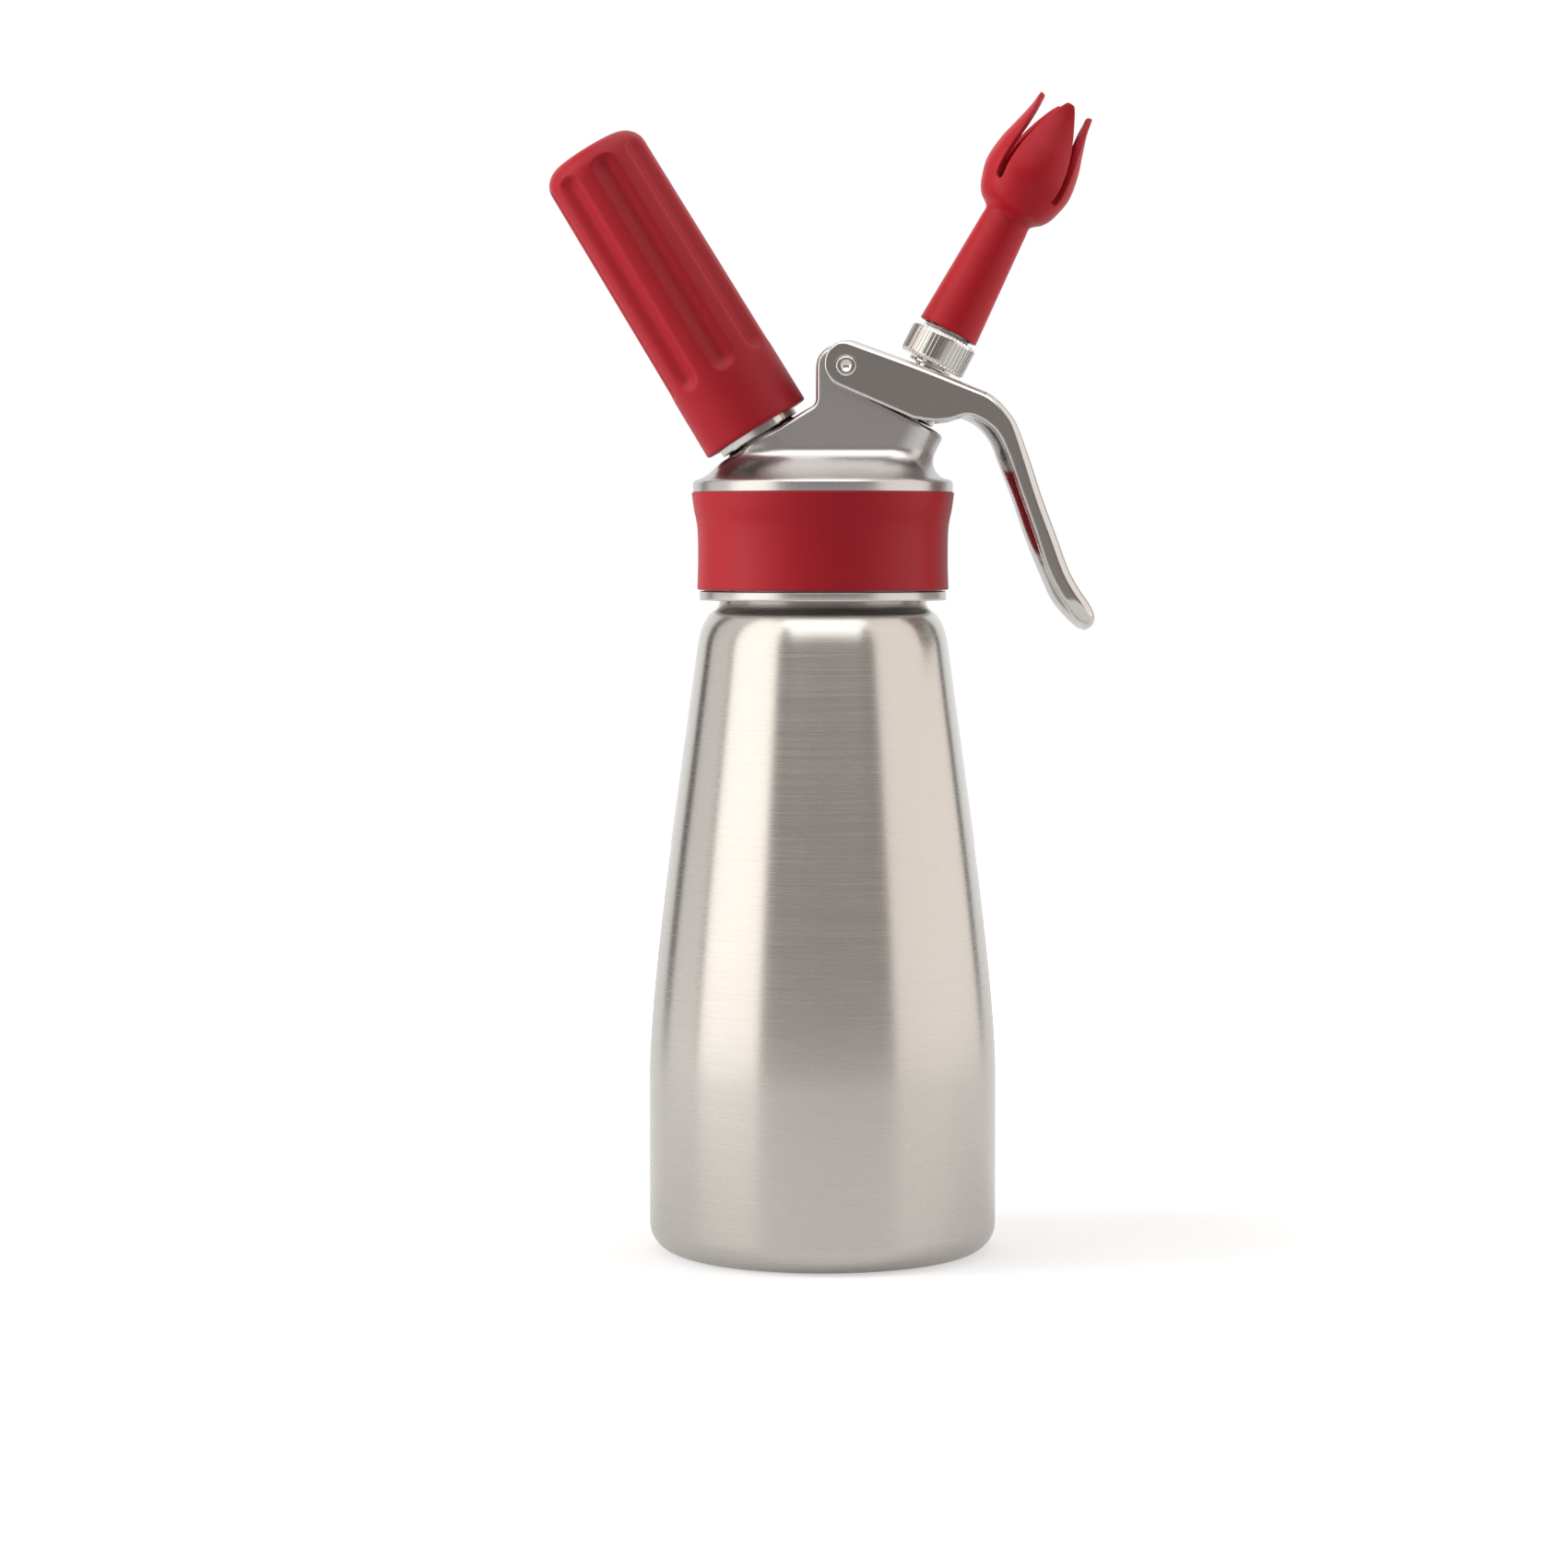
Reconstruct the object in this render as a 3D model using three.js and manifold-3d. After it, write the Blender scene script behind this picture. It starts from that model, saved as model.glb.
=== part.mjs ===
// Whipped cream dispenser: steel bottle, screw-on valve head with a squeeze lever,
// charger holder on the left, decorator tip on the right. Millimetres, +Z up.
// The origin is the centre of the bottle's base, on the plane that it stands on.
// +X points to the lever's side, +Y to the back.

import * as THREE from 'three';
import { mergeVertices } from 'three/addons/utils/BufferGeometryUtils.js';
import Module from 'manifold-3d';

const wasm = await Module();
wasm.setup();

// Shared clearances and facet counts
const GAP = 0.3;
const OVERRUN = 6;
const LARGE_SIDES = 36;
const MEDIUM_SIDES = 24;
const SMALL_SIDES = 16;
// Steps of a rounded corner, of a hidden inner corner and of a long curve
const CORNER_STEPS = 4;
const INNER_STEPS = 3;
const CURVE_STEPS = 5;
// Corners closer than this are merged
const MERGE = 1e-4;

// Bottle
const BOTTLE = {
  radius: 42.1, wall: 1.2, floor: 1.6, cornerRadius: 6.6,
  recessRadius: 29.4, recessDepth: 1, recessSlope: 2.4,
  straightTop: 43, taperStart: 58.6, taperBulge: 0.15,
  shoulderRadius: 30.3, shoulderStart: 146.8, shoulderTop: 155.5, shoulderReach: 26.2, shoulderDip: 1.2,
  neckRadius: 25, neckStart: 157, rim: 176,
};

// Screw thread between the bottle and the head, as a radial allowance, and its lead-in
const HEAD_THREAD = { allowance: 2.3, leadIn: 0.6 };

// Head: cup over the neck, rim, cove up to a slab with two leaning bosses, lug for the lever's pin
const HEAD = {
  skirtBottom: 157.7, skirtRadius: 29.8, skirtHeight: 2.5, barrelRadius: 28.7,
  rimBottom: 184.3, rimTop: 186, rimRadius: 31.4, coveRadius: 30.6, coveStart: 187,
  slabStart: 194.6, slabHalfWidth: 9, heel: 13.3, cavityRadius: 19, cavityTop: 183, top: 224,
};
const COVE_STEPS = 6;
const SLAB_END_STEPS = 9;

// Sealing ring between the bottle's rim and the head
const GASKET = { thickness: 3, innerRadius: 20, tabReach: 17.4, tabWidth: 9, tabThickness: 1.2, sideGap: 0.5 };

// Silicone sleeve that is held by its thumb while the bottle is hot or cold
const COLLAR = { topRadius: 31.75, waistRadius: 30.2, bottomRadius: 30.4, waistShare: 0.3, edge: 0.5 };

// Axis of the charger's holder: foot on the head's left face, leaning to the left
const HOLDER_AXIS = { footX: -14.76, footZ: 197.18, lean: 31.4 };
// Axis of the cream piston: foot on the head's right face, leaning to the right
const PISTON_AXIS = { footX: 19.55, footZ: 202.5, lean: 27.7 };

// Charger nipple on the head and what lies in it
const NIPPLE = { radius: 8.6, height: 17, boreRadius: 4.8, gasBoreRadius: 1.6, chamfer: 0.7 };
const PIERCER = {
  bodyStart: 1, bodyTop: 9, bodyClearance: 0.3, pinRadius: 0.9, pinTip: 12.4, pinCone: 1.2,
  gasRadius: 0.4, tipWall: 0.08,
};
const CHARGER_SEAL = { height: 1.6, innerRadius: 2 };
const CHECK_VALVE = { capRadius: 3.6, capThickness: 0.9, stemLength: 3 };

// Gas charger
const CHARGER = {
  bodyRadius: 8.9, length: 65, wall: 1.7, neckRadius: 4.3, neckLength: 6.5, shoulderLength: 7.5,
  endRadius: 4.9, pierceRadius: 1.4, start: 11.2,
};

// Charger holder shell and its silicone grip
const SHELL = { innerRadius: 9.3, wall: 1.1, rimStart: 0.6, endClearance: 0.3, endWall: 1.5, bend: 4.6 };
const GRIP = {
  start: 2.4, endWall: 2.5, baseRadius: 13.7, topRadius: 13.1, edgeRadius: 5.4, flutes: 8,
  fluteDepth: 1.5, fluteEnd: 15.8, fluteEndLength: 2.8, fluteTurn: 7,
};
// Heights of the grip's rows up its straight side, and turns of the rows over its top edge in degrees
const gripSideShares = [0.08, 0.45, 1];
const gripEdgeTurns = [30, 55, 78];
// Sharpness of the ribs between the flutes
const FLUTE_POWER = 1.3;
const SAMPLES_PER_FLUTE = 6;
// Share of its depth that a flute has reached near its lower end
const FLUTE_END_SHARE = 0.8;

// Cream piston: hollow rod with a valve foot, its seals, spring and cup
const ROD = {
  radius: 3.5, boreRadius: 2.3, top: 19.4, footRadius: 6, footThickness: 2, portRadius: 1.1,
};
const SEAT = { radius: 6.8, ridge: 25.4, height: 10 };
const FOOT_SEAL = { thickness: 1.4 };
const O_RING = { height: 1.8 };
const BUSH = { radius: 5.2, height: 3.6 };
const BOSS = { counterRadius: 8, counterDepth: 8.6, reach: 10.8, rodClearance: 0.3 };
const SPRING = { wire: 1.2, radius: 5.5, coils: 4.5, stepsPerTurn: 8, sides: 5 };
const CUP = { radius: 7.4, wall: 0.7, skirtBottom: 0.6, edgeTop: 8.4, crownTop: 9.2, crownRadius: 5.8 };
const RETAINER = { radius: 4.4, thickness: 0.7, groove: 0.5 };
const WASHER = { radius: 5.4, start: 13, thickness: 0.7 };
const ADAPTER = {
  start: 14, ringTop: 21.7, ringRadius: 8.2, flutes: 40, fluteDepth: 0.42, chamfer: 0.6,
  spigotRadius: 4.5, spigotTop: 31, boreRadius: 2.6, threadAllowance: 0.35,
};

// Decorator tip with its threaded insert and seal
const TIP_SEAL = { thickness: 0.5 };
const TIP = {
  start: 22.8, baseRadius: 7.5, stemTopRadius: 5.9, stemTop: 53.6, bulbRadius: 11.1, petalTip: 83.8,
  wall: 1.6, slitStart: 61, slitWidth: 1, petals: 4, petalTurn: 6, channelRadius: 3.2, petalPoint: 0.7,
};
const INSERT = { wall: 0.9, overlap: 0.6 };

// Lever and its pin; reach and drop run from the pin to the handle's tip
const LEVER = {
  pivotX: 5.4, pivotZ: 213.9, reach: 60, drop: 64, halfGap: 9.5, cheek: 1.9, plate: 1.5, bevel: 0.6,
  rearRadius: 5.2, slotRadius: 5, slotTravel: 1.2, spineWidth: 16, spineBevel: 1.2, channelEnd: 28,
  tipRadius: 9,
};
const PIN = { radius: 2, headRadius: 2.4, headHeight: 0.6, dimple: 1, dimpleDepth: 0.4, clearance: 0.25 };
// Lug round the pin: a wide rear arc that shows behind the cheeks, and a smaller one between them
const LUG = { rear: 7.1, rearRadius: 5.2, radius: 4.4 };

// Lever outlines from the pin, as shares of its reach and of its drop
const leverTopShares = [[0.039, -0.093], [0.554, 0.106]];
const leverOuterShares = [[0.554, 0.106], [0.583, 0.123], [0.613, 0.144], [0.642, 0.172], [0.672, 0.209],
  [0.735, 0.353], [0.787, 0.492], [0.842, 0.63], [0.897, 0.767], [0.966, 0.872], [1, 0.942], [0.991, 0.977],
  [0.96, 1]];
const leverInnerShares = [[0.96, 1], [0.907, 0.925], [0.85, 0.845], [0.808, 0.767], [0.752, 0.614],
  [0.697, 0.47], [0.64, 0.319], [0.605, 0.253], [0.555, 0.209], [0.488, 0.183], [0.415, 0.2],
  [0.352, 0.205], [0.27, 0.195]];
const leverSpineShares = [[0.882, 0.93], [0.832, 0.873], [0.78, 0.769], [0.72, 0.63],
  [0.662, 0.489], [0.611, 0.35], [0.581, 0.28], [0.52, 0.215]];
// First and last of the outer shares that the spine follows, and the points along each outline
const SPINE_SPAN = [4, -3];
const LEVER_STEPS = { outer: 18, inner: 18, spineOuter: 7, spine: 8 };

// Bulb of the tip: shares of the height from stem to petal tips, and of the bulb's radius
const bulbShares = [[0.07, 0.74], [0.2, 0.92], [0.34, 1], [0.54, 0.94], [0.71, 0.81], [0.87, 0.69], [1, 0.64]];

// Materials
function finish(name, color, roughness, metalness) {
  const material = new THREE.MeshStandardMaterial({ color, roughness, metalness });
  material.name = name;
  return material;
}
const BRUSHED = finish('brushed steel', 0xb9b2a8, 0.38, 1);
const SATIN = finish('satin steel', 0xb5b2ae, 0.26, 1);
const POLISHED = finish('polished steel', 0xcfcdc9, 0.14, 1);
const RED_SILICONE = finish('red silicone', 0xa82630, 0.62, 0);
const RED_PLASTIC = finish('red plastic', 0xa81f2b, 0.42, 0);
const PALE_SILICONE = finish('pale silicone', 0xd9d5cc, 0.6, 0);
const SPRING_STEEL = finish('spring steel', 0x9a9894, 0.3, 1);

// Degrees to radians
const rad = THREE.MathUtils.degToRad;

// Strips a geometry to merged positions, so that its triangles share their corners
function weld(geometry) {
  const plain = geometry.clone();
  plain.deleteAttribute('normal');
  plain.deleteAttribute('uv');
  return mergeVertices(plain, MERGE);
}

// Six times the volume that the triangles enclose; negative when they face in
function signedVolume(geometry) {
  const place = geometry.getAttribute('position');
  const index = geometry.getIndex().array;
  const [a, b, c] = [new THREE.Vector3(), new THREE.Vector3(), new THREE.Vector3()];
  let sum = 0;
  for (let i = 0; i < index.length; i += 3) {
    a.fromBufferAttribute(place, index[i]);
    b.fromBufferAttribute(place, index[i + 1]);
    c.fromBufferAttribute(place, index[i + 2]);
    sum += a.dot(b.cross(c));
  }
  return sum;
}

// Closed geometry to a solid that booleans can use
function solid(geometry) {
  const welded = weld(geometry);
  const triVerts = Uint32Array.from(welded.getIndex().array);
  if (signedVolume(welded) < 0) triVerts.reverse();
  const vertProperties = Float32Array.from(welded.getAttribute('position').array);
  return new wasm.Manifold(new wasm.Mesh({ numProp: 3, vertProperties, triVerts }));
}

// Solid back to a geometry with flat-shaded faces
function geometryOf(body) {
  const result = body.getMesh();
  const geometry = new THREE.BufferGeometry();
  geometry.setAttribute('position', new THREE.BufferAttribute(new Float32Array(result.vertProperties), 3));
  geometry.setIndex(new THREE.BufferAttribute(new Uint32Array(result.triVerts), 1));
  geometry.computeVertexNormals();
  return geometry;
}

function piece(name, body, material) {
  const mesh = new THREE.Mesh(geometryOf(body), material);
  mesh.name = name;
  return mesh;
}

// Revolves closed [radius, height] points about Z
function revolve(points, sides) {
  const ring = [...points, points[0]].map(([r, z]) => new THREE.Vector2(r, z));
  const geometry = new THREE.LatheGeometry(ring, sides);
  geometry.rotateX(Math.PI / 2);
  return solid(geometry);
}

// Solid cylinder about Z from low to high
function rod(radius, low, high, sides) {
  const geometry = new THREE.CylinderGeometry(radius, radius, high - low, sides);
  geometry.rotateX(Math.PI / 2);
  geometry.translate(0, 0, (low + high) / 2);
  return solid(geometry);
}

function box(lengthX, lengthY, lengthZ, x, y, z) {
  const geometry = new THREE.BoxGeometry(lengthX, lengthY, lengthZ);
  geometry.translate(x, y, z);
  return solid(geometry);
}

// Extrudes a side outline, drawn in X and Z, to a plate centred on Y
function sidePlate(shape, width, bevel, curveSegments) {
  const settings = { depth: width - 2 * bevel, curveSegments, bevelEnabled: bevel > 0 };
  Object.assign(settings, { bevelSize: bevel, bevelThickness: bevel, bevelOffset: -bevel, bevelSegments: 2 });
  const geometry = new THREE.ExtrudeGeometry(shape, settings);
  geometry.translate(0, 0, -settings.depth / 2);
  geometry.rotateX(Math.PI / 2);
  return solid(geometry);
}

// Points of an arc in [radius, height], angles in degrees
function arc(centreR, centreZ, radius, from, to, steps) {
  const points = [];
  for (let i = 0; i <= steps; i += 1) {
    const turn = rad(from + ((to - from) * i) / steps);
    points.push([centreR + radius * Math.cos(turn), centreZ + radius * Math.sin(turn)]);
  }
  return points;
}

// Points of a curve through control points, without its first point
function curvePoints(curve, steps) {
  return curve.getPoints(steps).slice(1).map((p) => [p.x, p.y]);
}

const vec = (x, y) => new THREE.Vector2(x, y);

// A copy of a solid that was made about an axis, moved to its place in the head's frame
function onAxis(body, axis, side) {
  return body.rotate([0, side * axis.lean, 0]).translate([axis.footX, 0, axis.footZ]);
}
const onHolder = (body) => onAxis(body, HOLDER_AXIS, -1);
const onPiston = (body) => onAxis(body, PISTON_AXIS, 1);

// Outside of the bottle's wall, or its inside when the inset is the wall
function bottleWall(inset, steps) {
  const B = BOTTLE;
  const middle = (B.radius + B.shoulderRadius) / 2 + B.taperBulge;
  const taper = new THREE.QuadraticBezierCurve(
    vec(B.radius - inset, B.straightTop), vec(B.radius - inset, B.taperStart),
    vec(middle - inset, (B.taperStart + B.shoulderStart) / 2),
  );
  const slope = (B.radius - B.shoulderRadius) / (B.shoulderStart - B.taperStart);
  const rise = B.shoulderTop - B.shoulderStart;
  const shoulder = new THREE.CubicBezierCurve(
    vec(B.shoulderRadius - inset, B.shoulderStart - inset),
    vec(B.shoulderRadius - inset - slope * (rise / 2), B.shoulderStart + rise / 2 - inset),
    vec((B.shoulderRadius + B.shoulderReach) / 2 - inset, B.shoulderTop - B.shoulderDip - inset),
    vec(B.shoulderReach - inset, B.shoulderTop - inset),
  );
  return [
    [B.radius - inset, B.straightTop],
    ...curvePoints(taper, steps),
    [B.shoulderRadius - inset, B.shoulderStart - inset],
    ...curvePoints(shoulder, steps),
    [B.neckRadius - inset, B.neckStart - inset],
    [B.neckRadius - inset, B.rim],
  ];
}

function makeBottle() {
  const B = BOTTLE;
  const corner = arc(B.radius - B.cornerRadius, B.cornerRadius, B.cornerRadius, -90, 0, CORNER_STEPS);
  const innerRadius = B.cornerRadius - B.wall;
  const innerCorner = arc(B.radius - B.cornerRadius, B.floor + innerRadius, innerRadius, 0, -90, INNER_STEPS);
  const outline = [
    [0, B.recessDepth], [B.recessRadius - B.recessSlope, B.recessDepth], [B.recessRadius, 0],
    ...corner, ...bottleWall(0, CURVE_STEPS), ...bottleWall(B.wall, INNER_STEPS).reverse(),
    ...innerCorner, [0, B.floor + B.recessDepth],
  ];
  return piece('bottle', revolve(outline, LARGE_SIDES), BRUSHED);
}

// Level where the sealing ring meets the head
const gasketLow = BOTTLE.rim + GAP;
const gasketHigh = gasketLow + GASKET.thickness;
const cupRadius = BOTTLE.neckRadius + HEAD_THREAD.allowance;

function makeGasket() {
  const G = GASKET;
  const outer = cupRadius - G.sideGap;
  const ring = revolve([[G.innerRadius, gasketLow], [outer, gasketLow], [outer, gasketHigh],
    [G.innerRadius, gasketHigh]], LARGE_SIDES);
  const length = G.innerRadius - G.tabReach + G.tabThickness;
  const middle = G.tabReach + length / 2;
  const tab = box(G.tabWidth, length, G.tabThickness, 0, middle, gasketLow + G.tabThickness / 2 + GAP);
  return piece('head_gasket', ring.add(tab), PALE_SILICONE);
}

// Stack of level outlines, each the hull of a left and a right circle
function loft(levels, arcSteps) {
  const place = [];
  const around = 2 * (arcSteps + 1);
  for (const { z, left, right, leftRadius, rightRadius } of levels) {
    for (let i = 0; i <= arcSteps; i += 1) {
      const turn = Math.PI * (i / arcSteps) - Math.PI / 2;
      place.push(right + rightRadius * Math.cos(turn), rightRadius * Math.sin(turn), z);
    }
    for (let i = 0; i <= arcSteps; i += 1) {
      const turn = Math.PI * (i / arcSteps) + Math.PI / 2;
      place.push(left + leftRadius * Math.cos(turn), leftRadius * Math.sin(turn), z);
    }
  }
  const index = [];
  for (let k = 0; k + 1 < levels.length; k += 1) {
    for (let i = 0; i < around; i += 1) {
      const [a, b] = [k * around + i, k * around + ((i + 1) % around)];
      index.push(a, b, b + around, a, b + around, a + around);
    }
  }
  const last = (levels.length - 1) * around;
  for (let i = 1; i + 1 < around; i += 1) {
    index.push(0, i + 1, i);
    index.push(last, last + i, last + i + 1);
  }
  const geometry = new THREE.BufferGeometry();
  geometry.setAttribute('position', new THREE.BufferAttribute(new Float32Array(place), 3));
  geometry.setIndex(index);
  return solid(geometry);
}

// Levels of the head's upper body: round on the rim, drawn in through a cove to the slab
function headLevels() {
  const H = HEAD;
  const levels = [levelAt(H.rimTop, 0)];
  for (let i = 0; i <= COVE_STEPS; i += 1) {
    const turn = (Math.PI / 2) * (i / COVE_STEPS);
    const z = H.coveStart + (H.slabStart - H.coveStart) * (1 - Math.cos(turn));
    levels.push(levelAt(z, Math.sin(turn)));
  }
  levels.push(levelAt(H.top, 1));
  return levels;
}

// One level, drawn in from the cove's outer circle by a share from 0 to 1
function levelAt(z, share) {
  const H = HEAD;
  const nose = BOSS.reach / Math.cos(rad(PISTON_AXIS.lean));
  const rightEnd = PISTON_AXIS.footX + (z - PISTON_AXIS.footZ) * Math.tan(rad(PISTON_AXIS.lean)) + nose;
  const leftEnd = HOLDER_AXIS.footX - (z - HOLDER_AXIS.footZ) * Math.tan(rad(HOLDER_AXIS.lean)) - H.heel;
  const left = (leftEnd + H.slabHalfWidth) * share;
  const right = (rightEnd - H.slabHalfWidth) * share;
  const radius = H.coveRadius + (H.slabHalfWidth - H.coveRadius) * share;
  return { z, left, right, leftRadius: radius, rightRadius: radius };
}

// Round cup with the skirt, the seat of the sleeve and the rim
function headCup() {
  const H = HEAD;
  const skirtTop = H.skirtBottom + H.skirtHeight;
  return revolve([
    [0, H.cavityTop], [H.cavityRadius, H.cavityTop], [H.cavityRadius, gasketHigh + GAP],
    [cupRadius, gasketHigh + GAP], [cupRadius, H.skirtBottom + HEAD_THREAD.leadIn],
    [cupRadius + HEAD_THREAD.leadIn, H.skirtBottom], [H.skirtRadius, H.skirtBottom],
    [H.skirtRadius, skirtTop], [H.barrelRadius, skirtTop], [H.barrelRadius, H.rimBottom],
    [H.rimRadius, H.rimBottom], [H.rimRadius, H.rimTop], [H.coveRadius, H.coveStart], [0, H.coveStart],
  ], LARGE_SIDES);
}

// Side outline that trims the slab: charger face, lug round the pin, piston face
function headTrim() {
  const fall = Math.tan(rad(PISTON_AXIS.lean));
  const climb = Math.tan(rad(HOLDER_AXIS.lean));
  const faceZ = (x) => HOLDER_AXIS.footZ + (x - HOLDER_AXIS.footX) * climb;
  const topZ = (x) => PISTON_AXIS.footZ - (x - PISTON_AXIS.footX) * fall;
  const far = HEAD.rimRadius + OVERRUN;
  const rear = LEVER.pivotX - LUG.rear;
  const shape = new THREE.Shape();
  shape.moveTo(-far, HEAD.skirtBottom);
  shape.lineTo(-far, faceZ(-far));
  shape.lineTo(rear, faceZ(rear));
  shape.absarc(rear + LUG.rearRadius, LEVER.pivotZ, LUG.rearRadius, Math.PI, Math.PI / 2, true);
  shape.absarc(LEVER.pivotX, LEVER.pivotZ, LUG.radius, Math.PI / 2, 0, true);
  shape.lineTo(LEVER.pivotX + LUG.radius, topZ(LEVER.pivotX + LUG.radius));
  shape.lineTo(far, topZ(far));
  shape.lineTo(far, HEAD.skirtBottom);
  shape.closePath();
  return sidePlate(shape, 2 * far, 0, CURVE_STEPS);
}

function nippleBody() {
  const N = NIPPLE;
  return onHolder(revolve([
    [0, -OVERRUN], [N.radius, -OVERRUN], [N.radius, N.height - N.chamfer],
    [N.radius - N.chamfer, N.height], [0, N.height],
  ], MEDIUM_SIDES));
}

// Depth below the charger face at which the gas bore meets the cavity's ceiling
const gasDepth = (HOLDER_AXIS.footZ - HEAD.cavityTop) / Math.cos(rad(HOLDER_AXIS.lean));
const bushTop = -BOSS.counterDepth - GAP;
const bushLow = bushTop - BUSH.height;
const ringTop = bushLow - GAP;
const ringLow = ringTop - O_RING.height;

function makeHeadBody() {
  const rodHole = ROD.radius + BOSS.rodClearance;
  const upper = loft(headLevels(), SLAB_END_STEPS).intersect(headTrim());
  const seat = onPiston(rod(SEAT.radius, -SEAT.ridge, SEAT.height - SEAT.ridge, MEDIUM_SIDES));
  const cuts = [
    onHolder(rod(NIPPLE.boreRadius, PIERCER.bodyStart - GAP, NIPPLE.height + OVERRUN, MEDIUM_SIDES)),
    onHolder(rod(NIPPLE.gasBoreRadius, -gasDepth - OVERRUN, OVERRUN, SMALL_SIDES)),
    onPiston(rod(rodHole, -SEAT.ridge - OVERRUN, OVERRUN, SMALL_SIDES)),
    onPiston(rod(BOSS.counterRadius, -BOSS.counterDepth, CUP.crownTop + OVERRUN, MEDIUM_SIDES)),
    onPiston(rod(BUSH.radius + GAP, ringLow - GAP, 0, SMALL_SIDES)),
    pinHole(),
  ];
  let body = headCup().add(upper).add(nippleBody()).add(seat);
  for (const cut of cuts) body = body.subtract(cut);
  return piece('head_body', body, SATIN);
}

function pinHole() {
  const reach = LEVER.halfGap + LEVER.cheek + OVERRUN;
  const hole = rod(PIN.radius + PIN.clearance, -reach, reach, SMALL_SIDES);
  return hole.rotate([90, 0, 0]).translate([LEVER.pivotX, 0, LEVER.pivotZ]);
}

function makeHeatCollar() {
  const C = COLLAR;
  const low = HEAD.skirtBottom + HEAD.skirtHeight + GAP;
  const high = HEAD.rimBottom - GAP;
  const waist = low + (high - low) * C.waistShare;
  const inner = HEAD.barrelRadius + GAP;
  const side = new THREE.QuadraticBezierCurve(
    vec(C.waistRadius, waist), vec(C.waistRadius + GAP, (waist + high) / 2), vec(C.topRadius, high - C.edge),
  );
  const outline = [
    [inner, low], [C.bottomRadius - C.edge, low], [C.bottomRadius, low + C.edge], [C.waistRadius, waist],
    ...curvePoints(side, CURVE_STEPS), [C.topRadius - C.edge, high], [inner, high],
  ];
  return piece('heat_collar', revolve(outline, LARGE_SIDES), RED_SILICONE);
}

// Points on the lever's outline, from shares of its reach and drop
const leverPoint = ([across, down]) => vec(LEVER.reach * across, -LEVER.drop * down);
const splinePoints = (shares, steps) => new THREE.SplineCurve(shares.map(leverPoint)).getPoints(steps);

function leverOutline() {
  const [topStart, topEnd] = leverTopShares.map(leverPoint);
  const belly = leverPoint(leverInnerShares.at(-1));
  const lowTurn = Math.atan2(belly.y, belly.x) - Math.acos(LEVER.rearRadius / belly.length());
  const highTurn = Math.PI / 2;
  const shape = new THREE.Shape();
  shape.moveTo(topStart.x, topStart.y);
  shape.lineTo(topEnd.x, topEnd.y);
  for (const p of splinePoints(leverOuterShares, LEVER_STEPS.outer)) shape.lineTo(p.x, p.y);
  for (const p of splinePoints(leverInnerShares, LEVER_STEPS.inner)) shape.lineTo(p.x, p.y);
  shape.absarc(0, 0, LEVER.rearRadius, lowTurn, highTurn - 2 * Math.PI, true);
  shape.quadraticCurveTo(topStart.x / 2, LEVER.rearRadius + LEVER.bevel, topStart.x, topStart.y);
  return shape;
}

// Rounded spine under the handle, on which the fingers pull
function leverSpine() {
  const shape = new THREE.Shape();
  const outer = splinePoints(leverOuterShares.slice(...SPINE_SPAN), LEVER_STEPS.spineOuter);
  const spine = splinePoints(leverSpineShares, LEVER_STEPS.spine);
  shape.moveTo(outer[0].x - LEVER.plate, outer[0].y);
  for (const p of outer.slice(1)) shape.lineTo(p.x - LEVER.plate, p.y);
  for (const p of spine) shape.lineTo(p.x, p.y);
  shape.closePath();
  return sidePlate(shape, LEVER.spineWidth, LEVER.spineBevel, 1);
}

// Space between the cheeks, for the lug, the slab and the spring's cup
function leverChannel() {
  const [topStart, topEnd] = leverTopShares.map(leverPoint);
  const along = topEnd.clone().sub(topStart).normalize();
  const inward = vec(along.y, -along.x).multiplyScalar(LEVER.plate);
  const ceiling = (x) => topStart.y + inward.y + ((x - topStart.x - inward.x) * along.y) / along.x;
  const rear = -LUG.rear - OVERRUN;
  const shape = new THREE.Shape();
  shape.moveTo(rear, -LEVER.drop);
  shape.lineTo(rear, ceiling(rear));
  shape.lineTo(LEVER.channelEnd - LEVER.plate, ceiling(LEVER.channelEnd - LEVER.plate));
  shape.lineTo(LEVER.channelEnd, ceiling(LEVER.channelEnd) - LEVER.plate);
  shape.lineTo(LEVER.channelEnd, -LEVER.drop);
  shape.closePath();
  return sidePlate(shape, 2 * LEVER.halfGap, 0, 1);
}

// The lever as its user's hand meets it: straight sides that end in a rounded tip
function leverFront(width) {
  const half = width / 2;
  const low = -LEVER.drop - LEVER.bevel;
  const shape = new THREE.Shape();
  shape.moveTo(half, LEVER.drop);
  shape.lineTo(-half, LEVER.drop);
  shape.lineTo(-half, low + LEVER.tipRadius);
  shape.absarc(LEVER.tipRadius - half, low + LEVER.tipRadius, LEVER.tipRadius, Math.PI, 1.5 * Math.PI, false);
  const arcZ = low + LEVER.tipRadius;
  shape.absarc(half - LEVER.tipRadius, arcZ, LEVER.tipRadius, 1.5 * Math.PI, 2 * Math.PI, false);
  shape.closePath();
  const long = 2 * (LEVER.reach + OVERRUN);
  const geometry = new THREE.ExtrudeGeometry(shape, { depth: 2 * long, bevelEnabled: false, curveSegments: 5 });
  geometry.translate(0, 0, -long);
  geometry.rotateX(Math.PI / 2);
  geometry.rotateZ(Math.PI / 2);
  return solid(geometry);
}

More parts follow.
